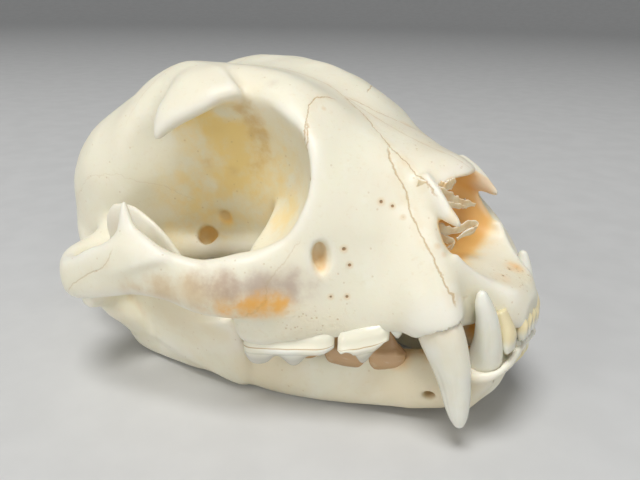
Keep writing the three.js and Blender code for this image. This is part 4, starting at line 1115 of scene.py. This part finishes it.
# The lower cheek teeth are tinted brown all over as painted shade: they sit in the shadow of the upper
# jaw.
painted_shade_tooth_finish = finish_of("lower_tooth_enamel", enamel_tree,
                         {"Root": 1.6, "Yellow": 0.85, "Tint": rgb(0.55, 0.30, 0.11)}, 0.26, 0.2)
peg_finish = finish_of("incisor_enamel", enamel_tree,
                       {"Root": 0.45, "Yellow": 0.8, "Tint": rgb(0.85, 0.72, 0.40)}, 0.28, 0.2)


# ------------------------------------------------------------------ the pieces

def bone(name, room, adaptivity, finish, node, nose=None):
    """A piece of bone: the skin of a room, with the marks that its colour follows."""
    points, quads, triangles = room.surface(adaptivity)
    normals = room.normals(points)
    mesh = mesh_of(name, points, quads, triangles, normals, marks(room, points, normals, nose))
    piece(name, mesh, finish, [node])


cranium, nose_opening = cranium_room()
bone("cranium_bone", cranium, 0.006, cranium_finish, "cranium", nose_opening)

# Lengthwise grooves of a fang: turn, width and depth of each, and the reaches it runs between.
FANG_GROOVES = [(0.07, 0.018, 0.05, 0.3, 0.86), (0.93, 0.022, 0.05, 0.3, 0.8),
                (0.55, 0.02, 0.05, 0.3, 0.8)]
for side, word in ((LEFT, "left"), (RIGHT, "right")):
    bone(f"jaw_bone_{word}", jaw_room(side), 0.004, jaw_finish, f"mandible_{word}")
    tube(f"upper_fang_{word}", [fang(side, UPPER_CANINE, FANG_GROOVES)], fang_finish,
         [f"upper_canine_{word}"])
    tube(f"lower_fang_{word}", [fang(side, LOWER_CANINE, FANG_GROOVES)], fang_finish,
         [f"lower_canine_{word}"])
    tube(f"upper_cheek_teeth_{word}", [blade(side, table, -1) for table in (
         UPPER_PREMOLAR_2, UPPER_PREMOLAR_3, UPPER_CARNASSIAL)], cheek_finish)
    tube(f"lower_cheek_teeth_{word}", [blade(side, table, 1) for table in (
         LOWER_PREMOLAR_3, LOWER_PREMOLAR_4, LOWER_CARNASSIAL)], painted_shade_tooth_finish)
    tube(f"upper_incisors_{word}", [incisor(side, *row) for row in UPPER_INCISORS],
         peg_finish)
    tube(f"lower_incisors_{word}", [incisor(side, *row) for row in LOWER_INCISORS],
         peg_finish)
    tube(f"nose_scrolls_{word}", [scroll(side, table, 40 + k) for k, table in enumerate(
         SCROLLS if side == RIGHT else SCROLL_ROOTS)], scroll_finish)


# ------------------------------------------------------------------ floor, light and camera

def floor_finish():
    """Plain pale paper with the faintest mottle."""
    material = bpy.data.materials.new("floor_paper")
    material.use_nodes = True
    w = Wires(material.node_tree)
    shader = material.node_tree.nodes["Principled BSDF"]
    mottle = w.noise(w.place(), 60.0, 3.0)
    tint = w.mix(w.ramp(mottle, 0.3, 0.7), rgb(0.62, 0.62, 0.61), rgb(0.65, 0.65, 0.64))
    w.tree.links.new(tint, shader.inputs["Base Color"])
    shader.inputs["Roughness"].default_value = 0.7
    return material


def set_floor():
    """A wide floor, flat under the skull and swept up far away: height = 0.4 * (r - 2)^2
    past r = 2 metres from the skull, up to r = 5."""
    count = 81
    line = 5 * np.linspace(-1, 1, count)
    x, y = np.meshgrid(line, line, indexing="ij")
    r = np.maximum(np.abs(x), np.abs(y))
    share = r / np.maximum(np.hypot(x, y), 1e-9)
    rise = 0.4 * np.maximum(r - 2, 0) ** 2
    corners = np.stack([x * share, y * share, rise], -1).reshape(-1, 3) / MM - SEAT
    i = np.arange(count - 1)[:, None] * count + np.arange(count - 1)[None]
    faces = np.stack([i, i + count, i + count + 1, i + 1], -1).reshape(-1, 4)
    mesh = mesh_of("floor", corners, faces, np.zeros((0, 3), int), limit=False)
    floor = bpy.data.objects.new("floor", mesh)
    bpy.context.scene.collection.objects.link(floor)
    mesh.materials.append(floor_finish())


def stand(name, data, right, up, back, place):
    """Puts a lamp or a camera at its place in the scene, turned by its three axes."""
    thing = bpy.data.objects.new(name, data)
    rows = zip(np.stack([right, up, back], 1), place)
    thing.matrix_world = Matrix([[*row, at] for row, at in rows] + [[0, 0, 0, 1]])
    bpy.context.scene.collection.objects.link(thing)
    return thing


def set_light(name, place, size, power):
    """A round lamp that looks at the skull's middle."""
    lamp = bpy.data.lights.new(name, "AREA")
    lamp.shape = "DISK"
    lamp.size = size
    lamp.energy = power
    back = unit(np.array(place) - np.array([0, 0, 0.04]))
    right = unit(np.cross([0, 0, 1], back))
    stand(name, lamp, right, np.cross(back, right), back, place)


def set_camera():
    """The camera by its place, its heading round +Z, its tilt down and its roll."""
    yaw, pitch, roll = np.radians([33.08, 21.0, 1.12])
    ahead = np.array([np.cos(pitch) * np.cos(yaw), np.cos(pitch) * np.sin(yaw), -np.sin(pitch)])
    right = unit(np.cross(ahead, [0, 0, 1]))
    up = np.cross(right, ahead)
    right, up = (np.cos(roll) * right + np.sin(roll) * up,
                 np.cos(roll) * up - np.sin(roll) * right)
    place = (np.array([-132.9, -100.9, 94.8]) + SEAT) * MM
    lens = bpy.data.cameras.new("camera")
    lens.sensor_width = 36
    lens.lens = 36
    lens.clip_start = 0.01
    bpy.context.scene.camera = stand("camera", lens, right, up, -ahead, place)


set_floor()
set_camera()
set_light("key", (-0.5, -0.12, 1.5), 0.7, 16.5)
set_light("fill", (-0.8, -1.3, 0.7), 1.2, 4.5)
set_light("side", (-1.5, 0.5, 0.6), 1.0, 6)
world = bpy.data.worlds.new("room")
world.use_nodes = True
world.node_tree.nodes["Background"].inputs["Color"].default_value = (0.95, 0.97, 1.0, 1)
world.node_tree.nodes["Background"].inputs["Strength"].default_value = 0.22
bpy.context.scene.world = world
bpy.context.scene.view_settings.view_transform = "Standard"
